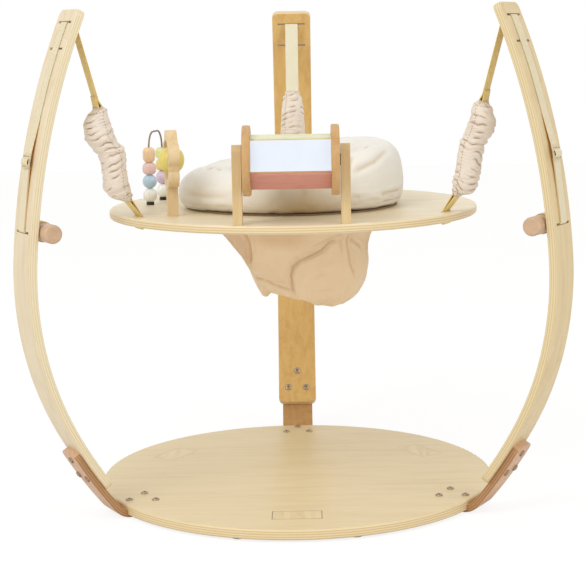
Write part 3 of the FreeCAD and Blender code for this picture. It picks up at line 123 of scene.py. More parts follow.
# -------------------- the arms' bend
@dataclass(frozen=True)
class ArmCurve:
    """The three arcs of an arm's outer face, as reach and height."""

    belly_reach: float = 0.510
    belly_height: float = 0.4085
    belly_radius: float = 0.551
    lower_joint: float = 0.145
    lower_radius: float = 0.823
    upper_joint: float = 0.445
    upper_radius: float = 1.196
    thick: float = 0.014
    bracket_bend: float = 0.024
    bracket_low: float = 0.013

    def bracket_corner(self) -> Pair:
        """Centre of the bracket's bend, as reach and height."""
        reach, level, radius = self.arcs()[0]
        height = self.bracket_low + self.bracket_bend
        return reach + math.sqrt((radius - self.bracket_bend) ** 2 - (height - level) ** 2), height

    def bracket_lean(self) -> Pair:
        """Direction of the bracket's upper leg where its bend ends, as reach and height."""
        reach, level, radius = self.arcs()[0]
        corner_reach, corner_height = self.bracket_corner()
        span = radius - self.bracket_bend
        return (level - corner_height) / span, (corner_reach - reach) / span

    def arcs(self) -> list[Triple]:
        """Centre reach, centre height and radius of the lower, middle and upper arc."""
        middle = (self.belly_reach - self.belly_radius, self.belly_height, self.belly_radius)
        ends = []
        for joint, radius in ((self.lower_joint, self.lower_radius), (self.upper_joint, self.upper_radius)):
            rise = (joint - self.belly_height) / self.belly_radius
            run = math.sqrt(1 - rise ** 2)
            step = self.belly_radius - radius
            ends.append((middle[0] + run * step, self.belly_height + rise * step, radius))
        return [ends[0], middle, ends[1]]

    def arc_at(self, height: float) -> Triple:
        """The arc that the outer face follows at a height."""
        low, middle, high = self.arcs()
        if height < self.lower_joint:
            return low
        return middle if height < self.upper_joint else high

    def face(self, height: float, off: float = 0.0) -> Pair:
        """Point off the outer face at a height, as reach and height."""
        reach, level, radius = self.arc_at(height)
        rise = (height - level) / radius
        run = math.sqrt(1 - rise ** 2)
        return reach + run * (radius + off), level + rise * (radius + off)

    def out(self, height: float) -> Pair:
        """Direction straight out of the outer face at a height."""
        _, level, radius = self.arc_at(height)
        rise = (height - level) / radius
        return math.sqrt(1 - rise ** 2), rise

    def level_cross(self, height: float, off: float) -> float:
        """Reach at which a level line meets the arm, so far off its outer face."""
        reach, level, radius = self.arc_at(height)
        return reach + math.sqrt((radius + off) ** 2 - (height - level) ** 2)


ARM = ArmCurve()


# -------------------- node trees
class Graph:
    """A tree of nodes, and short ways to add to it."""

    def __init__(self, tree: bpy.types.NodeTree) -> None:
        """Take a tree."""
        self.nodes = tree.nodes
        self.links = tree.links

    def feed(self, socket: Socket, value) -> None:
        """Link a socket to another, or set its value."""
        if isinstance(value, Socket):
            self.links.new(value, socket)
        else:
            socket.default_value = value

    def add(self, kind: str, inputs: dict | None = None, **settings) -> bpy.types.Node:
        """Add a node, set its properties, and link or set its inputs."""
        made = self.nodes.new(kind)
        for key, value in settings.items():
            setattr(made, key, value)
        for key, value in (inputs or {}).items():
            self.feed(made.inputs[key], value)
        return made

    def lay(self, kind: str, inputs: dict | None = None, **settings) -> Socket:
        """Add a node and give its first output."""
        return self.add(kind, inputs, **settings).outputs[0]


class Shader(Graph):
    """A material with one surface, and short ways to colour it."""

    def __init__(self, name: str, roughness: float, **settings: float | tuple) -> None:
        """Start a material.

        Args:
            name: Name of the material.
            roughness: Roughness of the surface.
            settings: Other inputs of the surface, spaces as underscores.
        """
        self.material = bpy.data.materials.new(name)
        self.material.use_nodes = True
        super().__init__(self.material.node_tree)
        self.surface = self.nodes["Principled BSDF"]
        self.surface.inputs["Roughness"].default_value = roughness
        for key, value in settings.items():
            self.surface.inputs[key.replace("_", " ")].default_value = value

    def place(self, source: str = "Object") -> Socket:
        """Coordinates of the point: Object, UV or Normal."""
        return self.add("ShaderNodeTexCoord").outputs[source]

    def mapped(self, source: Socket, scale: Sequence[float]) -> Socket:
        """Coordinates scaled."""
        return self.lay("ShaderNodeMapping", {"Vector": source, "Scale": tuple(scale)})

    def split(self, source: Socket) -> tuple[Socket, Socket, Socket]:
        """The three parts of a vector."""
        return tuple(self.add("ShaderNodeSeparateXYZ", {0: source}).outputs)

    def sums(self, way: str, *values: float | Socket) -> Socket:
        """One step of arithmetic."""
        return self.lay("ShaderNodeMath", dict(enumerate(values)), operation=way)

    def plus(self, one: float | Socket, other: float | Socket) -> Socket:
        """Sum of two values."""
        return self.sums("ADD", one, other)

    def minus(self, one: float | Socket, other: float | Socket) -> Socket:
        """First value less the second."""
        return self.sums("SUBTRACT", one, other)

    def times(self, one: float | Socket, other: float | Socket) -> Socket:
        """Product of two values."""
        return self.sums("MULTIPLY", one, other)

    def size(self, value: Socket) -> Socket:
        """A value without its sign."""
        return self.sums("ABSOLUTE", value)

    def greater(self, one: Socket, other: Socket) -> Socket:
        """The greater of two values."""
        return self.sums("MAXIMUM", one, other)

    def length(self, one: Socket, other: Socket) -> Socket:
        """Length of the line whose two parts are given."""
        return self.sums("SQRT", self.plus(self.times(one, one), self.times(other, other)))

    def along(self, x: Socket, y: Socket, degrees: float) -> Socket:
        """Level part of a vector along a direction."""
        angle = math.radians(degrees)
        return self.plus(self.times(x, math.cos(angle)), self.times(y, math.sin(angle)))

    def clouds(self, source: Socket, scale: float, detail: float = 4.0, twist: float = 0.0) -> Socket:
        """Soft noise from 0 to 1."""
        return self.add("ShaderNodeTexNoise", {
            "Vector": source, "Scale": scale, "Detail": detail, "Distortion": twist}).outputs["Fac"]

    def ramp(self, source: Socket, low: float, high: float) -> Socket:
        """0 below low, 1 above high and smooth between."""
        return self.lay("ShaderNodeMapRange", {
            "Value": source, "From Min": low, "From Max": high}, interpolation_type="SMOOTHSTEP")

    def mix(self, share: float | Socket, one: Colour | Socket, other: Colour | Socket) -> Socket:
        """Mix two colours."""
        made = self.add("ShaderNodeMix", {0: share}, data_type="RGBA")
        for index, value in ((6, one), (7, other)):
            self.feed(made.inputs[index], value if isinstance(value, Socket) else linear(value))
        return made.outputs[2]

    def bump(self, height: Socket, distance: float, under: Socket | None = None) -> Socket:
        """Surface relief of so many metres."""
        inputs = {"Height": height, "Distance": distance, "Strength": 1.0}
        if under is not None:
            inputs["Normal"] = under
        return self.lay("ShaderNodeBump", inputs)

    def block_outline(self, spot: Socket, reach: float, half: Pair, wide: float,
                      faint: float) -> Socket:
        """Outline of the blocks let in opposite the arms.

        Args:
            spot: Place on the board.
            reach: Distance of each block's middle from the board's.
            half: Half the length and half the width of a block.
            wide: Width of the outline.
            faint: Strength of the outline of the blocks that don't lie at the front.

        Returns:
            0 away from the outlines, up to 1 on them.
        """
        x, y, _ = self.split(spot)
        seen = None
        for side in Side:
            out = self.minus(self.size(self.minus(self.along(x, y, side.degrees + 180), reach)), half[0])
            past = self.minus(self.size(self.along(x, y, side.degrees + 270)), half[1])
            gap = self.size(self.greater(out, past))
            line = self.times(self.ramp(gap, wide, wide * 0.3), 1.0 if side is Side.REAR else faint)
            seen = line if seen is None else self.greater(seen, line)
        return seen

    def finish(self, colour: Socket | None = None, normal: Socket | None = None,
               roughness: Socket | None = None) -> Material:
        """Link what the surface shows and give the material."""
        for key, value in (("Base Color", colour), ("Normal", normal), ("Roughness", roughness)):
            if value is not None:
                self.links.new(value, self.surface.inputs[key])
        return self.material


# -------------------- finishes
GLUE_LINE: Colour = (120, 84, 48)
JOINT_LINE: Colour = (104, 74, 42)
# Painted warm shade for the gap where a strap stands off its arm's outer face.
STRAP_GAP_SHADE: Colour = (246, 176, 76)


@dataclass(frozen=True)
class WoodFinish:
    """Lacquered wood with grain, and ply lines on its edges where it is plywood.

    Attributes:
        name: Name of the material.
        pale: Colour of the early wood.
        dark: Colour of the grain lines.
        grain: Direction in which the grain runs.
        layers: How glued layers lie.
        edge_pale: Edge colour of the layers that run along.
        edge_dark: Edge colour of the layers that run across.
        start: Where the first layer begins.
        thick: Thickness over all the layers.
        plies: Number of layers.
        degrees: Direction of the arm, for a bent piece.
        roughness: Roughness of the lacquer.
        blocks: Whether the joints of the let-in blocks show.
        stained: Heights between which the strap stands off the arm; there a painted warm shade lies on the
            arm's outer face beside and under the strap.
    """

    name: str
    pale: Colour
    dark: Colour
    grain: Triple = (1.0, 0.0, 0.0)
    layers: Layers = Layers.NONE
    edge_pale: Colour = (230, 212, 172)
    edge_dark: Colour = (213, 186, 137)
    start: float = 0.0
    thick: float = 0.018
    plies: int = 9
    degrees: float = 0.0
    roughness: float = 0.42
    blocks: bool = False
    stained: Pair | None = None

    def depth(self, shader: Shader, spot: Socket) -> Socket:
        """Depth into the layers, from 0 at one face to 1 at the other."""
        x, y, z = shader.split(spot)
        if self.layers is Layers.LEVEL:
            return shader.sums("DIVIDE", shader.minus(z, self.start), self.thick)
        reach = shader.along(x, y, self.degrees)
        if self.layers is Layers.BRACKET:
            return shader.sums("DIVIDE", self.bracket_depth(shader, reach, z), self.thick)
        depths = []
        for centre_reach, centre_height, radius in ARM.arcs():
            span = shader.length(shader.minus(reach, centre_reach), shader.minus(z, centre_height))
            depths.append(shader.sums("DIVIDE", shader.minus(radius, span), self.thick))
        mixed, middle, high = depths
        for joint, nxt in ((ARM.lower_joint, middle), (ARM.upper_joint, high)):
            share = shader.sums("GREATER_THAN", z, joint)
            mixed = shader.plus(mixed, shader.times(shader.minus(nxt, mixed), share))
        return mixed

    def bracket_depth(self, shader: Shader, reach: Socket, z: Socket) -> Socket:
        """Distance out of the bracket's inner face, round its bend and up its leg."""
        corner_reach, corner_height = ARM.bracket_corner()
        run, rise = shader.minus(reach, corner_reach), shader.minus(z, corner_height)
        level = shader.length(shader.greater(run, 0.0), shader.sums("MINIMUM", rise, 0.0))
        low_reach, low_height, radius = ARM.arcs()[0]
        upright = shader.length(shader.minus(reach, low_reach), shader.minus(z, low_height))
        lean_out, lean_up = ARM.bracket_lean()
        leaning = shader.plus(shader.times(run, lean_out), shader.times(rise, lean_up))
        bent, leg = shader.minus(level, ARM.bracket_bend), shader.minus(upright, radius)
        up_leg = shader.sums("GREATER_THAN", leaning, 0.0)
        return shader.plus(bent, shader.times(shader.minus(leg, bent), up_leg))

    def edge_share(self, shader: Shader) -> Socket:
        """1 on the cut edges, 0 on the faces."""
        nx, ny, nz = shader.split(shader.place("Normal"))
        if self.layers is Layers.LEVEL:
            return shader.ramp(shader.size(nz), 0.75, 0.45)
        side = shader.size(shader.along(nx, ny, self.degrees + 90))
        cut = shader.greater(side, shader.size(nz)) if self.layers is Layers.ARM else side
        return shader.ramp(shader.minus(1.0, cut), 0.42, 0.22)

    def edge_colour(self, shader: Shader, depth: Socket, figure: Socket) -> Socket:
        """Colour of a cut edge: layers that run along and across in turn, with glue between them."""
        wander = shader.times(shader.minus(figure, 0.5), 0.05)
        level = shader.times(shader.plus(depth, wander), float(self.plies))
        layer = shader.sums("PINGPONG", level, 1.0)
        edge = shader.mix(shader.ramp(layer, 0.35, 0.65), self.edge_pale, self.edge_dark)
        glue = shader.size(shader.minus(shader.sums("FRACT", level), 0.5))
        return shader.mix(shader.times(shader.ramp(glue, 0.42, 0.5), 0.28), edge, GLUE_LINE)

    def stain(self, shader: Shader, spot: Socket, depth: Socket) -> Socket:
        """Share of the painted warm shade on the arm's outer face, in the gap under the strap."""
        x, y, z = shader.split(spot)
        low, high = self.stained
        across = shader.size(shader.along(x, y, self.degrees + 90))
        length = shader.times(shader.ramp(z, low, low + 0.003), shader.ramp(z, high, high - 0.03))
        spread = shader.times(shader.ramp(across, 0.0150, 0.0120), shader.ramp(depth, 0.03, 0.01))
        return shader.times(shader.times(length, spread), 0.9)

    def material(self) -> Material:
        """Build the material."""
        shader = Shader(self.name, self.roughness, Coat_Weight=0.12, Coat_Roughness=0.35)
        spot = shader.place()
        stretch = [70.0 - 64.0 * abs(part) for part in Vector(self.grain).normalized()]
        figure = shader.clouds(shader.mapped(spot, stretch), 1.0, 5.0, 0.6)
        streaks = shader.clouds(shader.mapped(spot, [part * 6 for part in stretch]), 1.0, 3.0)
        share = shader.plus(shader.times(shader.ramp(figure, 0.35, 0.75), 0.55),
                            shader.times(shader.ramp(streaks, 0.45, 0.8), 0.35))
        share = shader.times(share, shader.plus(0.5, shader.clouds(spot, 5.0, 2.0)))
        colour = shader.mix(share, self.pale, self.dark)
        if self.layers is not Layers.NONE:
            depth = self.depth(shader, spot)
            colour = shader.mix(self.edge_share(shader), colour, self.edge_colour(shader, depth, figure))
        if self.blocks:
            joint = shader.block_outline(spot, 0.268, (0.022, 0.041), 0.0012, 0.28)
            colour = shader.mix(shader.times(joint, 0.75), colour, JOINT_LINE)
        # Painted warm shade on the outer face where the strap stands off the arm.
        if self.stained:
            colour = shader.mix(self.stain(shader, spot, depth), colour, STRAP_GAP_SHADE)
        rough = shader.plus(self.roughness - 0.05, shader.times(figure, 0.12))
        return shader.finish(colour, shader.bump(streaks, 0.00012), rough)


@dataclass(frozen=True)
class PaintFinish:
    """Water paint on wood, thin enough that the grain still shows a little."""

    name: str
    colour: Colour
    grain: Triple = (0.0, 0.0, 1.0)
    roughness: float = 0.38

    def material(self) -> Material:
        """Build the material."""
        shader = Shader(self.name, self.roughness, Coat_Weight=0.15, Coat_Roughness=0.3)
        stretch = [420.0 - 380.0 * abs(part) for part in Vector(self.grain).normalized()]
        figure = shader.clouds(shader.mapped(shader.place(), stretch), 1.0, 3.0)
        darker = tuple(int(part * 0.93) for part in self.colour)
        colour = shader.mix(shader.ramp(figure, 0.4, 0.75), self.colour, darker)
        peel = shader.clouds(shader.place(), 900.0, 2.0)
        relief = shader.bump(peel, 0.00006, under=shader.bump(figure, 0.00008))
        return shader.finish(colour, relief)


@dataclass(frozen=True)
class ClothFinish:
    """Woven cloth whose threads cross on the piece's own coordinates.

    Attributes:
        name: Name of the material.
        colour: Colour of the cloth.
        fold: Colour between its threads and where it is worn.
        shadow: Painted shade colour, down in its creases and in other shaded places.
        deep: How much painted shade a full crease takes of that colour.
        thread: Width of a thread, in metres.
        crumple: Height of the fine crumples, in metres.
        roughness: Roughness of the cloth.
    """

    name: str
    colour: Colour
    fold: Colour
    shadow: Colour = (178, 146, 108)
    deep: float = 0.6
    thread: float = 0.0009
    crumple: float = 0.0
    roughness: float = 0.86

    def material(self) -> Material:
        """Build the material."""
        shader = Shader(self.name, self.roughness, Sheen_Weight=0.25, Sheen_Roughness=0.5)
        spot = shader.place()
        x, y, z = shader.split(spot)
        rate = math.tau / (2 * self.thread)
        pairs = (shader.plus(x, y), shader.plus(z, shader.times(y, 0.31)))
        waves = [shader.sums("SINE", shader.times(part, rate)) for part in pairs]
        weave = shader.times(*waves)
        slub = shader.clouds(spot, 240.0, 2.0)
        stain = shader.clouds(spot, 11.0, 3.0)
        colour = shader.mix(shader.times(shader.ramp(stain, 0.35, 0.75), 0.45), self.colour, self.fold)
        threads = shader.times(shader.ramp(weave, -0.2, 0.9), 0.16)
        colour = shader.mix(threads, colour, self.fold)
        # Painted shade in creases and shaded places, read from the crease attribute.
        pressed = shader.add("ShaderNodeAttribute", attribute_name="crease").outputs["Fac"]
        colour = shader.mix(shader.times(pressed, self.deep), colour, self.shadow)
        normal = shader.bump(shader.plus(weave, shader.times(slub, 1.2)), 0.00012)
        if self.crumple:
            soft = shader.clouds(spot, 26.0, 4.0, 0.9)
            ridge = shader.size(shader.minus(soft, 0.5))
            normal = shader.bump(ridge, self.crumple, under=normal)
        return shader.finish(colour, normal)


@dataclass(frozen=True)
class WebbingFinish:
    """Flat woven strap: a herringbone weave across, and firm edges."""

    name: str
    colour: Colour
    shade: Colour
    wide: float = 0.025

    def material(self) -> Material:
        """Build the material; the map runs along the strap, then across it."""
        shader = Shader(self.name, 0.8, Sheen_Weight=0.2)
        along, across, _ = shader.split(shader.place("UV"))
        slant = shader.sums("PINGPONG", across, self.wide / 4)
        twill = shader.sums("SINE", shader.times(shader.plus(along, slant), math.tau / 0.0016))
        rib = shader.sums("SINE", shader.times(across, math.tau / 0.0011))
        weave = shader.plus(twill, shader.times(rib, 0.4))
        wear = shader.clouds(shader.place("Object"), 40.0, 3.0)
        share = shader.plus(shader.times(shader.ramp(weave, -0.6, 1.2), 0.3), shader.times(wear, 0.25))
        edge = shader.ramp(shader.size(across), self.wide / 2 - 0.0016, self.wide / 2 - 0.0006)
        woven = shader.mix(share, self.colour, self.shade)
        colour = shader.mix(shader.times(edge, 0.35), woven, self.shade)
        return shader.finish(colour, shader.bump(weave, 0.00015))


@dataclass(frozen=True)
class HardFinish:
    """Metal, plastic or rubber with fine wear."""

    name: str
    colour: Colour
    roughness: float
    metallic: float = 0.0
    wear: float = 0.1
    grain: float = 300.0

    def material(self) -> Material:
        """Build the material."""
        shader = Shader(self.name, self.roughness, Metallic=self.metallic)
        cloud = shader.clouds(shader.place(), self.grain, 3.0)
        darker = tuple(int(part * (1 - self.wear * 2)) for part in self.colour)
        colour = shader.mix(shader.ramp(cloud, 0.35, 0.8), self.colour, darker)
        rough = shader.plus(self.roughness - self.wear / 2, shader.times(cloud, self.wear))
        return shader.finish(colour, shader.bump(cloud, 0.00003), rough)


# -------------------- mesh helpers
def linked(name: str, data: bpy.types.ID) -> Piece:
    """Make an object and link it to the scene."""
    made = bpy.data.objects.new(name, data)
    bpy.context.scene.collection.objects.link(made)
    return made


def smoothed(piece: Piece, smooth: bool = True) -> Piece:
    """Shade every face of a piece smooth or flat."""
    piece.data.polygons.foreach_set("use_smooth", [smooth] * len(piece.data.polygons))
    return piece


def mesh_piece(name: str, points: Iterable[Sequence[float]], faces: Iterable[Sequence[int]],
               material: Material | None = None, smooth: bool = True) -> Piece:
    """Make a mesh object at the origin from points and faces.

    Args:
        name: Name of the piece.
        points: Corners, in metres.
        faces: Corner numbers of each face.
        material: Finish of the piece.
        smooth: Whether the faces are shaded smooth.

    Returns:
        The object, linked to the scene.
    """
    mesh = bpy.data.meshes.new(name)
    mesh.from_pydata([tuple(point) for point in points], [], [tuple(face) for face in faces])
    mesh.update()
    if material is not None:
        mesh.materials.append(material)
    return smoothed(linked(name, mesh), smooth)


def settle(piece: Piece) -> Piece:
    """Turn a piece with modifiers into a plain mesh with none."""
    graph = bpy.context.evaluated_depsgraph_get()
    graph.update()
    plain = bpy.data.meshes.new_from_object(piece.evaluated_get(graph), depsgraph=graph)
    plain.name = piece.name
    piece.modifiers.clear()
    piece.data = plain
    return piece


def modified(piece: Piece, kind: str, **settings) -> Piece:
    """Run one modifier on a piece and keep the result as a plain mesh."""
    modifier = piece.modifiers.new(kind.lower(), kind)
    for key, value in settings.items():
        setattr(modifier, key, value)
    return settle(piece)


def merged_copy(name: str, node: str) -> Piece:
    """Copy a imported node's mesh, with its loose corners joined."""
    made = linked(name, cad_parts[node].data.copy())
    shape = bmesh.new()
    shape.from_mesh(made.data)
    bmesh.ops.remove_doubles(shape, verts=shape.verts, dist=2e-5)
    shape.to_mesh(made.data)
    shape.free()
    made.data.materials.clear()
    for key in list(made.keys()):
        del made[key]
    return smoothed(made)


def outward(piece: Piece) -> None:
    """Turn every face of a closed piece outwards."""
    shape = bmesh.new()
    shape.from_mesh(piece.data)
    bmesh.ops.recalc_face_normals(shape, faces=shape.faces)
    shape.to_mesh(piece.data)
    shape.free()


def read_corners(piece: Piece, what: str) -> np.ndarray:
    """Three numbers of every corner of a mesh."""
    flat = np.empty(len(piece.data.vertices) * 3, np.float32)
    piece.data.vertices.foreach_get(what, flat)
    return flat.reshape(-1, 3).astype(float)


def corners(piece: Piece) -> np.ndarray:
    """Corner points of a mesh."""
    return read_corners(piece, "co")


def facing(piece: Piece) -> np.ndarray:
    """Outward direction at each corner of a mesh."""
    return read_corners(piece, "normal")


def level_point(angle: float, reach: float = 1.0, height: float = 0.0) -> Vector:
    """Point in a level direction from the upright axis."""
    return Vector((reach * math.cos(angle), reach * math.sin(angle), height))


def directions(points: np.ndarray) -> np.ndarray:
    """Direction of each point from the middle, from 0 to 360 degrees."""
    return np.degrees(np.arctan2(points[:, 1], points[:, 0])) % 360


def place_corners(piece: Piece, points: np.ndarray) -> None:
    """Move every corner of a mesh to a new point."""
    piece.data.vertices.foreach_set("co", points.astype(np.float32).ravel())
    piece.data.update()


def note_creases(piece: Piece, shares: Sequence[float]) -> None:
    """Keep for the material, as the crease attribute, how much painted shade each corner takes, from 0 to 1,
    from its creases and other shaded places.
    """
    layer = piece.data.attributes.get("crease") or piece.data.attributes.new("crease", "FLOAT", "POINT")
    layer.data.foreach_set("value", np.clip(np.asarray(shares, float), 0, 1).astype(np.float32))


def ring_mesh(rings: Sequence[Sequence[Vector]],
              closed_ends: bool = False) -> tuple[list[Vector], list[tuple[int, ...]]]:
    """Join equal closed rings of points into a tube.

    Args:
        rings: Rings of points, in order.
        closed_ends: Whether a face closes each end.

    Returns:
        Points and faces.
    """
    count = len(rings[0])
    points = [point for ring in rings for point in ring]
    faces: list[tuple[int, ...]] = []
    for low in range(0, len(points) - count, count):
        for column in range(count):
            nxt = (column + 1) % count
            faces.append((low + column, low + nxt, low + count + nxt, low + count + column))
    if closed_ends:
        faces.append(tuple(reversed(range(count))))
        faces.append(tuple(range(len(points) - count, len(points))))
    return points, faces


def smooth_between(stops: Sequence[Pair], spot: float) -> float:
    """Value of a soft curve through stops of place and value."""
    if spot <= stops[0][0]:
        return stops[0][1]
    for (start, low), (end, high) in zip(stops, stops[1:]):
        if spot <= end:
            share = (spot - start) / (end - start)
            return low + (high - low) * share * share * (3 - 2 * share)
    return stops[-1][1]


def spline_between(stops: Sequence[Pair], spot: float) -> float:
    """Value of a smooth curve that runs straight on through its stops of place and value."""
    spots, values = zip(*stops)
    slopes = np.gradient(values, spots)
    index = min(max(int(np.searchsorted(spots, spot)) - 1, 0), len(spots) - 2)
    step = spots[index + 1] - spots[index]
    t = min(max((spot - spots[index]) / step, 0.0), 1.0)
    return ((2 * t ** 3 - 3 * t ** 2 + 1) * values[index] + (t ** 3 - 2 * t ** 2 + t) * step * slopes[index]
            + (3 * t ** 2 - 2 * t ** 3) * values[index + 1] + (t ** 3 - t ** 2) * step * slopes[index + 1])


def capsule_distance(points: np.ndarray, path: Sequence[Vector]) -> np.ndarray:
    """Distance of each point from a path of straight runs."""
    best = np.full(len(points), 1e9)
    for one, other in zip(path, path[1:]):
        start, run = np.array(one), np.array(other) - np.array(one)
        share = np.clip(((points - start) @ run) / max(run @ run, 1e-12), 0, 1)
        best = np.minimum(best, np.linalg.norm(points - start - share[:, None] * run, axis=1))
    return best


@dataclass(frozen=True)
class Fold:
    """A crease pressed into cloth along a path.

    Attributes:
        path: Points on the cloth.
        depth: How deep the crease goes.
        width: How wide it is.
        lip: Height of the cloth beside it, as a share of the depth.
        fade: Length over which it sets in at each end, in its own widths.
    """

    path: tuple[Vector, ...]
    depth: float = 0.003
    width: float = 0.004
    lip: float = 0.45
    fade: float = 3.0

    def strength(self, points: np.ndarray) -> np.ndarray:
        """1 along the crease, less towards its two ends."""
        ends = [np.linalg.norm(points - np.array(end), axis=1) for end in (self.path[0], self.path[-1])]
        return 1 - np.exp(-(np.minimum(*ends) / (self.fade * self.width)) ** 2)

    def lift(self, points: np.ndarray) -> np.ndarray:
        """How far each point moves out of the cloth."""
        span = capsule_distance(points, self.path) / self.width
        section = self.lip * np.exp(-(span - 1.9) ** 2) - np.exp(-span ** 2)
        return self.depth * self.strength(points) * section

    def shade(self, points: np.ndarray) -> np.ndarray:
        """How far down in the crease each point lies, from 0 to 1, kept as painted shade."""
        span = capsule_distance(points, self.path) / self.width
        return np.exp(-(span * 1.5) ** 2) * self.strength(points) * min(1.0, self.depth / 0.0045)


class Skin:
    """Finds points on a soft piece and moves its cloth."""

    outside = 0.6
    above = 1.2

    def __init__(self, piece: Piece) -> None:
        """Read the piece as it is now."""
        self.piece = piece
        self.tree = BVHTree.FromPolygons([v.co[:] for v in piece.data.vertices],
                                         [p.vertices[:] for p in piece.data.polygons])

    def wall(self, degrees: float, height: float) -> Vector:
        """Outermost point in a direction, at a height."""
        way = level_point(math.radians(degrees))
        start = Vector((0.0, 0.0, height)) + way * self.outside
        hit = self.tree.ray_cast(start, -way, self.outside)
        return hit[0] if hit[0] is not None else start - way * 0.45

    def top(self, degrees: float, reach: float) -> Vector:
        """Highest point in a direction, at a reach."""
        start = level_point(math.radians(degrees), reach, self.above)
        hit = self.tree.ray_cast(start, Vector((0, 0, -1)), self.above)
        return hit[0] if hit[0] is not None else start - Vector((0, 0, 0.6))

    def press(self, folds: Sequence[Fold], shaded: np.ndarray | float = 0.0) -> None:
        """Press folds into the cloth, and keep as painted shade their creases and the other shaded places
        given.
        """
        points, out = corners(self.piece), facing(self.piece)
        lift = sum(fold.lift(points) for fold in folds)
        note_creases(self.piece, np.max([fold.shade(points) for fold in folds], axis=0) + shaded)
        place_corners(self.piece, points + out * lift[:, None])

    def ruffle(self, rule: Callable[[Vector], float]) -> None:
        """Move each corner along its own direction by what a rule gives."""
        points, out = corners(self.piece), facing(self.piece)
        lift = np.array([rule(Vector(point)) for point in points])
        place_corners(self.piece, points + out * lift[:, None])


def puff(piece: Piece, pressure: float, cap: float, steps: int = 20) -> None:
    """Fill a padded piece with the cloth simulation, and cap how far it swells.

    Args:
        piece: Closed mesh at the origin.
        pressure: Pressure inside.
        cap: Furthest that a corner may move, in metres.
        steps: Number of frames that the simulation runs.
    """
    start = corners(piece)
    cloth = piece.modifiers.new("filling", "CLOTH")
    cloth.settings.quality = 4
    cloth.settings.use_pressure = True
    cloth.settings.uniform_pressure_force = pressure
    cloth.settings.effector_weights.gravity = 0.0
    cloth.settings.tension_stiffness = 12
    cloth.settings.compression_stiffness = 12
    cloth.settings.bending_stiffness = 0.4
    cloth.collision_settings.use_self_collision = False
    scene = bpy.context.scene
    for step in range(1, steps + 1):
        scene.frame_set(step)
    settle(piece)
    scene.frame_set(1)
    moved = corners(piece) - start
    keep = np.minimum(1.0, cap / np.maximum(np.linalg.norm(moved, axis=1), 1e-9))
    place_corners(piece, start + moved * keep[:, None])


# -------------------- repeated details
class Growth(Graph):
    """A Geometry Nodes tree that grows small repeated details out of a piece."""

    def __init__(self, name: str, material: Material, **numbers: float) -> None:
        """Start a tree.

        Args:
            name: Name of the tree.
            material: Finish of the details.
            numbers: The tree's other inputs.
        """
        self.tree = bpy.data.node_groups.new(name, "GeometryNodeTree")
        super().__init__(self.tree)
        face = self.tree.interface
        face.new_socket("Geometry", in_out="INPUT", socket_type="NodeSocketGeometry")
        self.values = {}
        for label, value in numbers.items():
            made = face.new_socket(label, in_out="INPUT", socket_type="NodeSocketFloat")
            made.default_value = value
            self.values[made.identifier] = value
        made = face.new_socket("Finish", in_out="INPUT", socket_type="NodeSocketMaterial")
        self.values[made.identifier] = material
        face.new_socket("Geometry", in_out="OUTPUT", socket_type="NodeSocketGeometry")
        self.enter = self.nodes.new("NodeGroupInput").outputs

    def grow(self, piece: Piece, shape: Socket) -> Piece:
        """Run the tree on a piece and keep the result as a plain mesh.

        Args:
            piece: Piece that the tree starts from.
            shape: Output that holds the grown details.

        Returns:
            The same piece, with the details as its mesh.
        """
        real = self.lay("GeometryNodeRealizeInstances", {0: shape})
        dressed = self.lay("GeometryNodeSetMaterial", {"Geometry": real, "Material": self.enter["Finish"]})
        self.feed(self.nodes.new("NodeGroupOutput").inputs["Geometry"], dressed)
        modifier = piece.modifiers.new(self.tree.name, "NODES")
        modifier.node_group = self.tree
        for label, value in self.values.items():
            modifier[label] = value
        settle(piece)
        outward(piece)
        return piece


def stitches(name: str, paths: Sequence[Sequence[Vector]], material: Material,
             spacing: float, length: float, thick: float) -> Piece:
    """Rows of short thread stitches along paths.

    Args:
        name: Name of the piece.
        paths: Each row's points, on the cloth.
        material: Finish of the thread.
        spacing: From one stitch to the next.
        length: Length of a stitch.
        thick: Thickness of the thread.

    Returns:
        The stitches as one plain mesh.
    """
    points, edges = [], []
    for path in paths:
        edges += [(len(points) + i, len(points) + i + 1) for i in range(len(path) - 1)]
        points += [tuple(point) for point in path]
    mesh = bpy.data.meshes.new(name)
    mesh.from_pydata(points, edges, [])
    tree = Growth("stitch row", material, Spacing=spacing, Length=length, Thickness=thick)
    curve = tree.lay("GeometryNodeMeshToCurve", {0: tree.enter["Geometry"]})
    even = tree.lay("GeometryNodeResampleCurve", {"Curve": curve, "Length": tree.enter["Spacing"]},
                    mode="LENGTH")
    tangent = tree.lay("GeometryNodeInputTangent")
    way = tree.lay("FunctionNodeAlignRotationToVector", {"Vector": tangent}, axis="X")
    bead = tree.lay("GeometryNodeMeshUVSphere", {"Segments": 6, "Rings": 4, "Radius": 0.5})
    size = tree.lay("ShaderNodeCombineXYZ", {
        "X": tree.enter["Length"], "Y": tree.enter["Thickness"], "Z": tree.enter["Thickness"]})
    put = tree.lay("GeometryNodeInstanceOnPoints", {
        "Points": even, "Instance": bead, "Rotation": way, "Scale": size})
    return smoothed(tree.grow(linked(name, mesh), put))


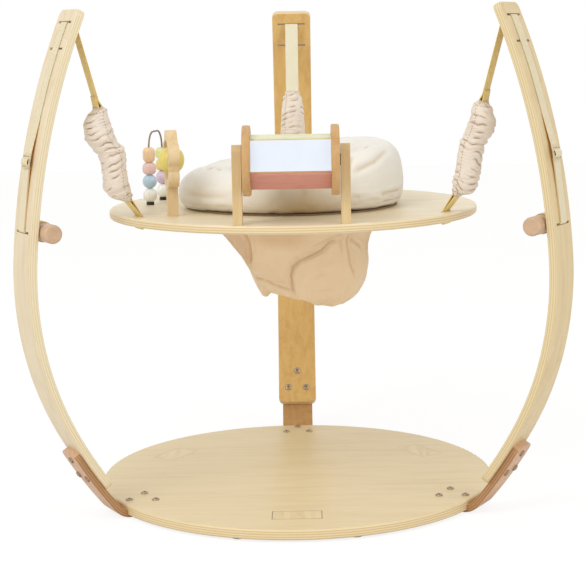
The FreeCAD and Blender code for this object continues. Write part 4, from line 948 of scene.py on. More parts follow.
def coil(name: str, material: Material, length: float, radius: float,
         wire: float, turns: float) -> Piece:
    """A wound wire that stands on the origin.

    Args:
        name: Name of the piece.
        material: Finish of the wire.
        length: Length of the winding.
        radius: From the middle to the middle of the wire.
        wire: Radius of the wire.
        turns: Number of turns.

    Returns:
        The winding as a plain mesh.
    """
    tree = Growth("winding", material, Length=length, Radius=radius, Wire=wire, Turns=turns)
    spiral = tree.lay("GeometryNodeCurveSpiral", {
        "Resolution": 20, "Rotations": tree.enter["Turns"], "Start Radius": tree.enter["Radius"],
        "End Radius": tree.enter["Radius"], "Height": tree.enter["Length"]})
    section = tree.lay("GeometryNodeCurvePrimitiveCircle", {"Resolution": 8, "Radius": tree.enter["Wire"]})
    tube = tree.lay("GeometryNodeCurveToMesh", {"Curve": spiral, "Profile Curve": section, "Fill Caps": True})
    return smoothed(tree.grow(linked(name, bpy.data.meshes.new(name)), tube))


def set_at(name: str, pattern: Piece, spots: Sequence[tuple[Vector, Vector]],
           material: Material) -> Piece:
    """Copies of a pattern at spots, each standing on its own direction.

    Args:
        name: Name of the piece.
        pattern: Small mesh that stands up along Z from the origin.
        spots: Place and direction of each copy.
        material: Finish of the copies.

    Returns:
        The copies as one plain mesh.
    """
    mesh = bpy.data.meshes.new(name)
    mesh.from_pydata([tuple(spot) for spot, _ in spots], [], [])
    stand = mesh.attributes.new("stand", "FLOAT_VECTOR", "POINT")
    stand.data.foreach_set("vector", [part for _, way in spots for part in way])
    tree = Growth("set of fasteners", material)
    shape = tree.add("GeometryNodeObjectInfo", {"Object": pattern}).outputs["Geometry"]
    read = tree.add("GeometryNodeInputNamedAttribute", {"Name": "stand"}, data_type="FLOAT_VECTOR")
    way = tree.lay("FunctionNodeAlignRotationToVector", {"Vector": read.outputs["Attribute"]}, axis="Z")
    put = tree.lay("GeometryNodeInstanceOnPoints", {
        "Points": tree.enter["Geometry"], "Instance": shape, "Rotation": way})
    return tree.grow(linked(name, mesh), put)


# -------------------- finishes of this object
# Tones of each arm's laminate: partly natural variation between the arms, partly painted light and shade, the
# left arm lighter, the right arm and the rear arm's inner face darker.
LAMINATE_TONE_AND_SHADE: dict[Side, tuple[Colour, ...]] = {
    Side.REAR: ((224, 186, 118), (198, 152, 84), (238, 224, 188), (208, 176, 122)),
    Side.LEFT: ((224, 208, 176), (208, 184, 142), (232, 220, 188), (220, 201, 160)),
    Side.RIGHT: ((217, 196, 150), (199, 171, 121), (226, 209, 167), (211, 188, 142)),
}
# Bracket faces as lit and shaded copies of one ply: the rear bracket is darker as painted shade, the front
# two paler.
BRACKET_REAR_SHADED: tuple[Colour, ...] = ((196, 152, 98), (168, 120, 68))
BRACKET_FRONT_LIT: tuple[Colour, ...] = ((208, 168, 132), (182, 138, 100))
BRACKET_EDGE: tuple[Colour, ...] = ((186, 142, 96), (156, 112, 70))
BEECH: tuple[Colour, ...] = ((222, 188, 134), (196, 150, 96))


def dress(material: Material, *nodes: str) -> None:
    """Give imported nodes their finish."""
    for node in nodes:
        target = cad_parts[node]
        if target.material_slots:
            for slot in target.material_slots:
                slot.material = material
        else:
            target.data.materials.append(material)
        LOG.info("%s finished as %s", node, material.name)


def add_piece(piece: Piece, body: str, slot: str, *nodes: str) -> Piece:
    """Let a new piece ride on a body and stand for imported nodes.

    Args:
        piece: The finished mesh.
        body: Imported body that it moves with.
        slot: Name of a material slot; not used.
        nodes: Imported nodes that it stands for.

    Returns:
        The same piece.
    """
    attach(piece, body)
    if nodes:
        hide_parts(*nodes)
    LOG.info("%s made, %d faces", piece.name, len(piece.data.polygons))
    return piece


@dataclass
class Woodwork:
    """Base, arms, brackets, tray and the small turned parts."""

    plies_base: int = 9
    plies_tray: int = 7
    plies_arm: int = 7
    plies_bracket: int = 6
    bracket_thick: float = 0.012
    # Heights of the painted warm shade under the strap on each arm's outer face.
    stained: Pair = (0.498, 0.690)

    def board(self, node: str, name: str, plies: int, pale: Colour, dark: Colour,
              grain: Triple = (1.0, 0.12, 0.0)) -> None:
        """Dress a level board, with its layers from its own thickness."""
        low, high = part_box(node)
        dress(WoodFinish(name, pale, dark, grain, Layers.LEVEL, start=low.z, thick=high.z - low.z,
                         plies=plies, blocks=node.startswith("base")).material(), node)

    def dress_all(self) -> None:
        """Dress every packed wooden node of the frame."""
        self.board("base_plate", "base birch", self.plies_base, (225, 207, 165), (215, 193, 148))
        self.board("tray", "tray birch", self.plies_tray, (234, 221, 190), (218, 196, 154))
        self.board("base_inlays", "inlay birch", self.plies_base, (227, 209, 168), (210, 185, 137),
                   (0.2, 1.0, 0.0))
        for side in Side:
            pale, dark, edge_pale, edge_dark = LAMINATE_TONE_AND_SHADE[side]
            dress(WoodFinish(f"{side.label} arm laminate", pale, dark, UPRIGHT, Layers.ARM, edge_pale,
                             edge_dark, thick=ARM.thick, plies=self.plies_arm, degrees=side.degrees,
                             stained=self.stained).material(), f"arm_{side.label}")
            # The rear bracket takes the darker colours, a painted shade.
            face = BRACKET_REAR_SHADED if side is Side.REAR else BRACKET_FRONT_LIT
            dress(WoodFinish(f"{side.label} bracket ply", *face, UPRIGHT, Layers.BRACKET, *BRACKET_EDGE,
                             thick=self.bracket_thick, plies=self.plies_bracket,
                             degrees=side.degrees).material(), f"bracket_{side.label}")
            dress(WoodFinish(f"{side.label} toggle beech", (204, 172, 140), (180, 144, 112),
                             tuple(side.place(0, 1, 0))).material(), f"toggle_{side.label}")
        dress(WoodFinish("peg beech", *BEECH).material(), "tray_pegs")
        dress(HardFinish("foot rubber", (58, 52, 46), 0.85, grain=500.0).material(), "base_feet")


@dataclass
class Fasteners:
    """Domed bolts with hexagon sockets, and their nuts."""

    head_radius: float = 0.0065
    head_thick: float = 0.003
    shank_radius: float = 0.003
    nut_radius: float = 0.006
    nut_thick: float = 0.004
    socket_radius: float = 0.0024
    socket_deep: float = 0.0018
    around: int = 24

    def pattern(self, name: str, length: float) -> Piece:
        """One bolt that stands on the origin with its head up.

        Args:
            name: Name of the pattern.
            length: From the head's seat to the far end of the nut.

        Returns:
            The bolt, not linked to the scene.
        """
        def ring(radius: float, height: float, corners_only: bool = False) -> list[Vector]:
            points = []
            for k in range(self.around):
                angle = math.tau * k / self.around
                reach = radius
                if corners_only:
                    reach = radius * math.cos(math.pi / 6) / math.cos((angle % (math.pi / 3)) - math.pi / 6)
                points.append(level_point(angle, reach, height))
            return points

        dome = [(self.head_radius * math.cos(turn), self.head_thick * (0.35 + 0.65 * math.sin(turn)))
                for turn in (0.0, 0.35, 0.7, 1.0)]
        rings = [ring(self.socket_radius, self.head_thick - self.socket_deep, True),
                 ring(self.socket_radius, self.head_thick * 0.96, True),
                 ring(self.socket_radius * 1.25, self.head_thick)]
        rings += [ring(radius, height) for radius, height in reversed(dome)]
        rings += [ring(self.head_radius, 0.0), ring(self.shank_radius, 0.0)]
        nut = self.nut_thick - length
        rings += [ring(self.shank_radius, nut), ring(self.nut_radius, nut, True),
                  ring(self.nut_radius, nut - self.nut_thick * 0.55, True),
                  ring(self.nut_radius * 0.72, nut - self.nut_thick * 0.85),
                  ring(self.nut_radius * 0.3, -length)]
        made = mesh_piece(name, *ring_mesh(rings, closed_ends=True), smooth=False)
        outward(made)
        return made

    def make(self) -> None:
        """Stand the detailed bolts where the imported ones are."""
        metal = HardFinish("dulled plate", (182, 164, 142), 0.36, 1.0, 0.12, 700.0).material()
        for node, inward in (("arm_bolts", True), ("base_bolts", False)):
            spots, length = self.spots(node, inward)
            pattern = self.pattern(f"{node}_pattern", length)
            made = set_at(f"{node}_detailed", pattern, spots, metal)
            bpy.data.objects.remove(pattern)
            add_piece(made, "stand", "bolt_steel", node)

    def spots(self, node: str, inward: bool) -> tuple[list[tuple[Vector, Vector]], float]:
        """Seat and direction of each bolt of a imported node, and the bolts' length below the head."""
        copy = merged_copy("bolt islands", node)
        shape = bmesh.new()
        shape.from_mesh(copy.data)
        left, islands = set(shape.verts), []
        while left:
            stack, island = [left.pop()], []
            while stack:
                corner = stack.pop()
                island.append(corner.co.copy())
                for edge in corner.link_edges:
                    other = edge.other_vert(corner)
                    if other in left:
                        left.remove(other)
                        stack.append(other)
            islands.append(np.array(island))
        shape.free()
        bpy.data.objects.remove(copy)
        spots, length = [], 0.0
        for island in islands:
            middle = island.mean(0)
            _, _, ways = np.linalg.svd(island - middle)
            way = ways[0]
            flip = np.dot(way[:2], middle[:2]) > 0 if inward else way[2] < 0
            way = -way if flip else way
            spans = (island - middle) @ way
            side = (island - middle) - spans[:, None] * way
            centre = middle + (side.max(0) + side.min(0)) / 2
            spots.append((Vector(centre + way * (spans.max() - self.head_thick)), Vector(way)))
            length = max(length, spans.max() - spans.min() - self.head_thick)
        return spots, length


# -------------------- webbing
def rounded(points: Sequence[Vector], bends: Sequence[float], step: float = 0.16) -> list[Vector]:
    """Replace the corners of a flat path by round bends.

    Args:
        points: Corners of the path.
        bends: Radius at each inner corner.
        step: Largest turn between two points of a bend, in radians.

    Returns:
        The points of the rounded path.
    """
    out = [points[0].copy()]
    for index in range(1, len(points) - 1):
        before = (points[index] - points[index - 1]).normalized()
        after = (points[index + 1] - points[index]).normalized()
        cross = before.x * after.y - before.y * after.x
        angle = math.atan2(abs(cross), before.dot(after))
        if angle < 1e-3:
            out.append(points[index].copy())
            continue
        hand = 1.0 if cross > 0 else -1.0
        bend = bends[index - 1]
        start = points[index] - before * bend * math.tan(angle / 2)
        centre = start + Vector((-before.y, before.x)) * hand * bend
        steps = max(2, math.ceil(angle / step))
        for part in range(steps + 1):
            out.append(centre + Matrix.Rotation(hand * angle * part / steps, 2) @ (start - centre))
    out.append(points[-1].copy())
    return out


def circle_run(centre: Vector, radius: float, start: float, end: float, steps: int = 24) -> list[Vector]:
    """Points of a flat arc between two directions in radians."""
    return [centre + Vector((math.cos(start + (end - start) * k / steps),
                             math.sin(start + (end - start) * k / steps))) * radius for k in range(steps + 1)]


# Reach and height of the springs' pins and of the tray's slots for the short straps.
PIN_HIGH = Vector((0.364, 0.689))
PIN_LOW = Vector((0.324, 0.548))
TRAY_SLOT = Vector((0.297, 0.500))
PIN_RADIUS = 0.002


def pins(side: Side) -> tuple[Vector, Vector]:
    """Upper and lower pin of an arm's spring."""
    return side.place(PIN_HIGH.x, 0, PIN_HIGH.y), side.place(PIN_LOW.x, 0, PIN_LOW.y)


@dataclass
class Webbing:
    """The straps of one arm, woven flat and sewn round their bars.

    Attributes:
        side: Arm that they belong to.
        wide: Width of the webbing.
        ply: Thickness of one layer.
        air: Gap between two layers, or between a layer and wood.
        bend: Radius of its bends.
        slot_top: Height of the arm's upper slot.
        slot_low: Height of the arm's lower slot.
        glide_height: Height of the adjuster.
        glide_stand: How far the adjuster's middle stands off the arm.
        glide_pitch: From the adjuster's middle bar to its outer ones.
        glide_bar: Half thickness of the adjuster's bars.
        toggle_radius: Radius of the toggle.
        toggle_drop: How far the toggle's middle lies under the lower slot.
        peg_radius: Radius of the peg under the tray.
        snug: Height on its loop at which the short strap leaves the peg, as a share of the radius.
    """

    side: Side
    wide: float = 0.025
    ply: float = 0.0014
    air: float = 0.0002
    bend: float = 0.0022
    slot_top: float = 0.832
    slot_low: float = 0.498
    glide_height: float = 0.610
    glide_stand: float = 0.0064
    glide_pitch: float = 0.010
    glide_bar: float = 0.0012
    toggle_radius: float = 0.0155
    toggle_drop: float = 0.001
    peg_radius: float = 0.002
    snug: float = 0.98

    def sweep(self, name: str, path: Sequence[Vector], material: Material) -> Piece:
        """Run the webbing's section along a flat path of the arm's plane.

        Args:
            name: Name of the piece.
            path: Points of the path, as reach and height.
            material: Finish of the webbing.

        Returns:
            The webbing, with a map along and across it in metres.
        """
        half, thin = self.wide / 2, self.ply / 2
        soft = min(thin * 0.8, 0.0005)
        section = [(line, thin) for line in np.linspace(-half + soft, half - soft, 9)]
        section += [(half - soft * 0.3, thin - soft * 0.3), (half, thin - soft), (half, soft - thin),
                    (half - soft * 0.3, soft * 0.3 - thin)]
        section += [(-across, -off) for across, off in section]
        rings, lengths, length = [], [], 0.0
        for index, point in enumerate(path):
            before, after = path[max(index - 1, 0)], path[min(index + 1, len(path) - 1)]
            way = (after - before).normalized()
            out = Vector((-way.y, way.x))
            if index:
                length += (point - path[index - 1]).length
            lengths.append(length)
            rings.append([self.side.place(point.x + out.x * off, across, point.y + out.y * off)
                          for across, off in section])
        points, faces = ring_mesh(rings, closed_ends=True)
        made = mesh_piece(name, points, faces, material)
        layer = made.data.uv_layers.new(name="along and across")
        count = len(section)
        for loop in made.data.loops:
            row, column = divmod(loop.vertex_index, count)
            layer.data[loop.index].uv = (lengths[row], section[column][0])
        outward(made)
        return made

    def dense(self, path: list[Vector], step: float = 0.006) -> list[Vector]:
        """Add points so that no run is longer than a step."""
        out = [path[0]]
        for point in path[1:]:
            run = point - out[-1]
            if run.length < 1e-6:
                continue
            parts = max(1, math.ceil(run.length / step))
            start = out[-1]
            out += [start + run * (k + 1) / parts for k in range(parts)]
        return out

    def loop_radius(self, bar: float) -> float:
        """Middle line of the webbing turned round a bar."""
        return bar + self.air + self.ply / 2

    def main_route(self) -> list[Vector]:
        """Path from the spring's pin over the arm to the toggle, and back to the adjuster."""
        ply, air, bend = self.ply, self.air, self.bend
        hang_top = Vector(ARM.face(self.slot_top, -ARM.thick - bend))
        pull = (hang_top - PIN_HIGH).normalized()
        side = Vector((-pull.y, pull.x))
        loop = self.loop_radius(PIN_RADIUS)
        start = math.atan2(-side.y, -side.x)
        route = [PIN_HIGH + pull * 0.024 - side * (ply + air), PIN_HIGH + pull * 0.006 - side * loop]
        route += circle_run(PIN_HIGH, loop, start, start - math.pi)
        lie = air + ply / 2
        hug_from, hug_to = self.slot_top - 0.009, self.glide_height + 0.068
        turns = [PIN_HIGH + pull * 0.007 + side * loop, PIN_HIGH + pull * 0.016, hang_top,
                 Vector(ARM.face(self.slot_top, lie)), Vector(ARM.face(hug_from, lie))]
        route += rounded(turns, [0.01, bend, bend])
        arc = [Vector(ARM.face(hug_from + (hug_to - hug_from) * k / 12, lie)) for k in range(1, 13)]
        out = Vector(ARM.out(self.glide_height))
        down = Vector((out.y, -out.x))
        glide = Vector(ARM.face(self.glide_height, self.glide_stand))
        over = self.glide_bar + 2 * air + 1.5 * ply
        under = -(self.glide_bar + air + ply / 2)
        plies = (ply + air) / 2
        mouth = ARM.level_cross(self.slot_low, 0)
        level = self.slot_low - self.toggle_drop
        toggle = Vector((ARM.level_cross(level, -ARM.thick) - self.toggle_radius - 2 * air - ply, level))
        ring = self.toggle_radius + air + ply / 2

        def by(along: float, off: float) -> Vector:
            return glide + down * along + out * off

        pitch = self.glide_pitch
        low_z, high_z = self.slot_low - plies, self.slot_low + plies
        low_turn, high_turn = math.asin((low_z - level) / ring), math.asin((high_z - level) / ring)
        weave = [arc[-1], by(-pitch - 0.006, under), by(-pitch + 0.0015, under), by(-0.0032, over),
                 by(0.0032, over), by(pitch - 0.0015, under), by(pitch + 0.008, under),
                 Vector((mouth + 1.5 * ply + 2 * air, low_z)),
                 toggle + Vector((math.cos(low_turn), math.sin(low_turn))) * ring]
        route += arc[:-1] + rounded(weave, [0.03, bend * 2, bend, bend, bend, bend, bend * 2])
        route += circle_run(toggle, ring, low_turn, high_turn - math.tau, 48)[1:]
        second = under - ply - air
        tail = [route[-1], Vector((mouth + ply / 2 + air, high_z)), by(pitch + 0.009, second),
                by(pitch - 0.001, second), by(0.004, under + air), by(0.0, under + air)]
        return route + rounded(tail, [bend, bend * 2, bend, bend])[1:]

    def tray_route(self) -> list[Vector]:
        """Path of the short strap from the lower pin through the tray and round its peg."""
        low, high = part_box("tray")
        ply, air = self.ply, self.air
        peg = Vector((TRAY_SLOT.x, low.z - self.peg_radius - 2 * air - ply))
        entry = Vector((TRAY_SLOT.x, high.z + 0.001))
        pull = (PIN_LOW - entry).normalized()
        side = Vector((-pull.y, pull.x))
        loop, ring = self.loop_radius(PIN_RADIUS), self.loop_radius(self.peg_radius)
        gap, rise = (ply + air) / 2, ring * self.snug
        start = math.atan2(-side.y, -side.x)
        around = circle_run(PIN_LOW, loop, start, start + math.pi)
        first = [peg + Vector((gap, rise)), entry + Vector((gap, 0)), PIN_LOW - side * loop - pull * 0.004]
        last = [PIN_LOW + side * loop - pull * 0.004, entry + Vector((-gap, 0)), peg + Vector((-gap, rise))]
        route = rounded(first, [self.bend]) + around + rounded(last, [self.bend])
        edge = math.asin(self.snug)
        return route + circle_run(peg, ring, math.pi - edge, math.tau + edge - 0.05, 20)[1:]

    def make(self, material: Material, outside: Material) -> None:
        """Make both straps of the arm; the long one is paler where it lies outside it, a painted-light copy
        of the same webbing.
        """
        label = self.side.label
        main = self.sweep(f"strap_{label}_woven", self.dense(self.main_route()), material)
        # Faces outside the arm take the paler webbing, a painted-light copy.
        main.data.materials.append(outside)
        for face in main.data.polygons:
            reach = face.center.dot(self.side.place(1, 0, 0))
            face.material_index = int(reach > ARM.face(face.center.z, -ARM.thick / 2)[0])
        add_piece(main, "stand", "webbing", f"strap_{label}")
        short = self.sweep(f"tray_strap_{label}_woven", self.dense(self.tray_route()), material)
        add_piece(short, "hanging_tray", "webbing", f"tray_strap_{label}")


# -------------------- springs and sleeves
@dataclass
class Spring:
    """A wound spring with a bar and stem at each end."""

    side: Side
    radius: float = 0.0098
    wire: float = 0.0011
    stem: float = 0.016
    pin_long: float = 0.028
    turns: float = 36.0

    def rod(self, name: str, start: Vector, end: Vector, material: Material) -> Piece:
        """Round rod with softened ends."""
        way = (end - start).normalized()
        side = way.orthogonal().normalized()
        other = way.cross(side)
        length = (end - start).length
        soft = PIN_RADIUS * 0.3
        rings = []
        for along, radius in ((0, PIN_RADIUS - soft), (soft, PIN_RADIUS), (length - soft, PIN_RADIUS),
                              (length, PIN_RADIUS - soft)):
            rings.append([start + way * along + (side * math.cos(a) + other * math.sin(a)) * radius
                          for a in (math.tau * k / 16 for k in range(16))])
        return mesh_piece(name, *ring_mesh(rings, closed_ends=True), material)

    def make(self, material: Material) -> Piece:
        """Make the spring, standing between the arm and the tray."""
        label = self.side.label
        high, low = pins(self.side)
        hang = (high - low).normalized()
        length = (high - low).length - 2 * self.stem
        wound = coil(f"spring_{label}_wound", material, length, self.radius, self.wire, self.turns)
        base, head = low + hang * self.stem, high - hang * self.stem
        wound.data.transform(Matrix.Translation(base) @ hang.to_track_quat("Z", "Y").to_matrix().to_4x4())
        across = self.side.place(0, self.pin_long / 2, 0)
        parts = [self.rod("bar", pin - across, pin + across, material) for pin in (low, high)]
        parts += [self.rod("stem", low, base, material), self.rod("stem", head, high, material)]
        for spot in (base, head):
            parts.append(self.rod("cross", spot - across * 0.7, spot + across * 0.7, material))
        joined = join(wound, parts)
        outward(joined)
        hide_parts(f"spring_{label}")
        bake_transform(joined)
        LOG.info("%s made, %d faces", joined.name, len(joined.data.polygons))
        return joined


def join(main: Piece, others: Sequence[Piece]) -> Piece:
    """Join meshes at the origin into the first one."""
    shape = bmesh.new()
    for piece in [main, *others]:
        shape.from_mesh(piece.data)
    shape.to_mesh(main.data)
    shape.free()
    for piece in others:
        bpy.data.objects.remove(piece)
    return main


@dataclass
class Sleeve:
    """A gathered cloth tube over a spring, crumpled by its own length.

    Attributes:
        side: Arm that it hangs from.
        seed: Fixed seed of its crumples.
        girth: Half width along its length, in metres.
        lean: How far its middle stands outwards along its length.
        seam: Direction of its lengthwise seam, in degrees round it.
    """

    side: Side
    seed: float
    girth: tuple[Pair, ...]
    lean: tuple[Pair, ...]
    seam: float = 60.0
    over: float = 0.006
    under: float = 0.013
    neck_wide: float = 0.0138
    neck_thin: float = 0.0054
    least: float = 0.0127
    gathers: float = 14.0
    crest: float = 0.0052
    ripple: float = 0.0014
    pleat: float = 0.0012
    flat_length: float = 0.215
    rows: int = 240
    around: int = 120
    thick: float = 0.0016

    def gather(self, along: float, angle: float) -> Pair:
        """Height of the gathers at a place on the tube, and how deep in a crease it lies, which is painted as
        shade.
        """
        spot = Vector((math.cos(angle) * 0.9, math.sin(angle) * 0.9, along * 4.0 + self.seed))
        wander = noise.noise(spot) * 0.9 + noise.noise(spot * 2.2) * 0.22
        tilt = 0.45 * math.sin(angle + self.seed)
        broad = abs(math.sin(math.pi * (along * self.gathers + tilt + wander)))
        fine = abs(math.sin(math.pi * (along * self.gathers * 2.1 - tilt + 1.8 * wander)))
        calm = min(1.0, max(0.05, 0.45 + 1.7 * noise.noise(spot * 1.5 + Vector((7.0, 3.0, 1.0)))))
        busy = min(1.0, max(0.0, 0.2 + 1.5 * noise.noise(spot * 2.0 + Vector((1.0, 8.0, 4.0)))))
        height = calm * (broad ** 0.5 - 0.8) * self.crest + busy * (fine ** 0.6 - 0.7) * self.ripple
        crease = calm ** 1.5 * max(0.0, 1 - broad / 0.55) ** 1.5 + 0.5 * busy * max(0.0, 1 - fine / 0.4)
        return height, min(1.0, crease * 1.2)

    def centre(self, along: float) -> Vector:
        """Middle of the spring and strap, from 0 at the top to 1 at the bottom."""
        top, low = PIN_HIGH, PIN_LOW
        start = top + (top - low).normalized() * self.over
        end = low + (TRAY_SLOT - low).normalized() * self.under
        first, last = (low - start).length, (end - low).length
        run = along * (first + last)
        if run < first:
            return start + (low - start) * run / first
        return low + (end - low) * (run - first) / last

    def point(self, along: float, angle: float, off: float = 0.0) -> Vector:
        """Point of the tube, from 0 at the top to 1 at the bottom."""
        hang = (PIN_HIGH - PIN_LOW).normalized()
        out = Vector((hang.y, -hang.x))
        ends = smooth_between(((0.0, 0.0), (1.0, 1.0)), min(1.0, along / 0.065, (1 - along) / 0.065))
        radius = smooth_between(self.girth, along)
        pleats = (1 - ends) * self.pleat * math.sin(12 * angle + self.seed)
        relief = self.gather(along, angle)[0] * (0.2 + 0.8 * ends) + pleats
        thin = self.neck_thin + (radius - self.neck_thin) * ends + relief
        wide = self.neck_wide + (radius - self.neck_wide) * ends + relief
        away = thin * math.cos(angle) + smooth_between(self.lean, along) * ends
        across = wide * math.sin(angle)
        span = math.hypot(away, across)
        stretch = 1 + (max(0.0, self.least - span) * ends + off) / span
        spot = self.centre(along) + out * away * stretch
        return self.side.place(spot.x, across * stretch, spot.y)

    def make(self, material: Material, thread: Material) -> None:
        """Make the sleeve with its hems and seam."""
        label = self.side.label
        turns = [math.tau * k / self.around for k in range(self.around)]
        rings = [[self.point(row / self.rows, turn) for turn in turns] for row in range(self.rows + 1)]
        tube = mesh_piece(f"sleeve_{label}_gathered", *ring_mesh(rings), material)
        # Painted shade in the gathers' creases, and darker at the gathered ends.
        neck_shade = [max(0.0, 1 - row / 9, 1 - (self.rows - row) / 9) for row in range(self.rows + 1)]
        note_creases(tube, [min(1.0, self.gather(row / self.rows, turn)[1] + 0.6 * neck)
                            for row, neck in enumerate(neck_shade) for turn in turns])
        outward(tube)
        smoothed(modified(tube, "SOLIDIFY", thickness=self.thick, offset=-1.0))
        seam = math.radians(self.seam)
        rows = [[self.point(0.06 + 0.88 * k / 60, seam, 0.0004) for k in range(61)]]
        for along in (0.05, 0.95):
            rows.append([self.point(along, math.tau * k / 48, 0.0004) for k in range(49)])
        stitched = stitches(f"sleeve_{label}_stitches", rows, thread, 0.0052, 0.0034, 0.0008)
        high, low = pins(self.side)
        circumference = math.tau * sum(value for _, value in self.girth) / len(self.girth)
        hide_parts(f"sleeve_{label}")
        for piece in (tube, stitched):
            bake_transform(piece)
        LOG.info("%s made, %d faces", tube.name, len(tube.data.polygons))


# -------------------- the seat
@dataclass
class Collar:
    """The padded collar that lies on the tray round the child.

    Attributes:
        shrink: How far its solid is drawn in before it is filled.
        voxel: Size of the grid that remeshes it.
        pressure: Pressure of the filling.
        cap: Furthest that the filling may push the cloth.
        hem_height: Height of the seam above the tray.
        warm_height: Height over which painted shade darkens the cloth towards the tray.
        full_side: Direction in which it stands out furthest, in degrees.
        full_height: Height of that place above the tray.
        bulge: How far it stands out there.
        broad: How broad that place is.
        warm_side: Direction of the darkest painted shade, facing the drum, in degrees.
        warm_wide: How broad that painted shade is, in degrees.
        ripple: Height of its crumples, the ones round it and the ones all over it.
    """

    shrink: float = 0.0005
    voxel: float = 0.0055
    pressure: float = 4.0
    cap: float = 0.005
    hem_height: float = 0.012
    warm_height: float = 0.060
    full_side: float = 196.0
    full_height: float = 0.045
    bulge: float = 0.010
    broad: float = 0.060
    warm_side: float = 275.0
    warm_wide: float = 23.0
    ripple: Pair = (0.0018, 0.0012)

    def folds(self, skin: Skin, base: float) -> list[Fold]:
        """Creases of the cloth, each along places on the wall or the top."""
        def wall(*places: Pair) -> tuple[Vector, ...]:
            return tuple(skin.wall(degrees, base + height) for degrees, height in places)

        def top(*places: Pair) -> tuple[Vector, ...]:
            return tuple(skin.top(degrees, reach) for degrees, reach in places)

        made = [
            Fold(top((206, 0.162), (198, 0.146), (190, 0.130)), 0.0036, 0.0040),
            Fold(top((199, 0.172), (192, 0.152), (183, 0.128)), 0.0030, 0.0036),
            Fold(top((214, 0.152), (206, 0.138), (199, 0.128)), 0.0030, 0.0038),
            Fold(top((190, 0.168), (184, 0.158), (180, 0.148)), 0.0022, 0.0034),
            Fold(wall((204, 0.030), (220, 0.027), (238, 0.029)), 0.0014, 0.0060),
            Fold(wall((300, 0.026), (322, 0.025), (337, 0.027), (350, 0.033)), 0.0024, 0.0030),
            Fold(wall((300, 0.012), (325, 0.011), (345, 0.013)), 0.0020, 0.0030),
            Fold(wall((310, 0.018), (330, 0.019), (346, 0.024)), 0.0014, 0.0030),
            Fold(top((300, 0.188), (305, 0.172), (311, 0.156)), 0.0026, 0.0050),
            Fold(top((300, 0.190), (318, 0.186), (340, 0.176)), 0.0022, 0.0060),
            Fold(top((312, 0.152), (334, 0.140), (356, 0.134)), 0.0022, 0.0055),
            Fold(wall((262, 0.054), (265, 0.036), (262, 0.018)), 0.0010, 0.0080),
            Fold(wall((274, 0.054), (276, 0.036), (275, 0.018)), 0.0012, 0.0070),
        ]
        for degrees, lean in ((22, 9), (51, -7), (79, 5), (104, -10), (131, 8), (152, -5), (236, 6)):
            path = top((degrees, 0.186), (degrees + lean / 2, 0.166), (degrees + lean, 0.142))
            made.append(Fold(path, 0.0020, 0.0050))
        for degrees, lean in ((8, 12), (62, 16), (92, 11), (140, 15), (168, 12)):
            path = wall((degrees, 0.020), (degrees + lean, 0.024), (degrees + 2 * lean, 0.021))
            made.append(Fold(path, 0.0018, 0.0036))
        for degrees in range(0, 360, 24):
            swing = 9.0 * math.sin(degrees * 1.7)
            made.append(Fold(top((degrees + swing, 0.112), (degrees + swing * 1.6, 0.128)), 0.0020, 0.0042))
        return made

    def make(self, material: Material, thread: Material) -> None:
        """Fill the collar, press its creases and sew its seam."""
        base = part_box("seat_cushion")[0].z
        piece = merged_copy("seat_cushion_padded", "seat_cushion")
        modified(piece, "REMESH", mode="VOXEL", voxel_size=self.voxel)
        place_corners(piece, corners(piece) - facing(piece) * self.shrink)
        modified(piece, "REMESH", mode="VOXEL", voxel_size=self.voxel)
        puff(piece, self.pressure, self.cap)
        modified(piece, "SUBSURF", levels=1, render_levels=1)
        full = Skin(piece).wall(self.full_side, base + self.full_height)

        def crumple(spot: Vector) -> float:
            angle = math.atan2(spot.y, spot.x)
            radial = noise.noise(Vector((math.cos(angle) * 5, math.sin(angle) * 5, spot.z * 9)))
            soft = noise.noise(spot * 22 + Vector((2, 5, 1)))
            swell = self.bulge * math.exp(-((spot - full).length / self.broad) ** 2)
            return self.ripple[0] * radial + self.ripple[1] * soft + swell

        Skin(piece).ruffle(crumple)
        skin = Skin(piece)
        points = corners(piece)
        # Painted warm shade low on the cloth, darkest where the drum shades it and the tray throws warm
        # light; it turns with the seat.
        rise = np.clip(1 - (points[:, 2] - base) / self.warm_height, 0, 1)
        front = np.exp(-((directions(points) - self.warm_side) / self.warm_wide) ** 2)
        skin.press(self.folds(skin, base), (0.05 + 0.85 * front) * rise ** 0.6)
        points = corners(piece)
        points[:, 2] = np.maximum(points[:, 2], base)
        place_corners(piece, points)
        piece.data.materials.append(material)
        smoothed(piece)
        skin = Skin(piece)
        row = [skin.wall(degrees, base + self.hem_height) for degrees in range(0, 361, 3)]
        seam = stitches("seat_cushion_stitches", [row], thread, 0.0052, 0.0034, 0.0006)
        add_piece(piece, "turning_seat", "seat_cloth", "seat_cushion")
        add_piece(seam, "turning_seat", "seat_cloth")


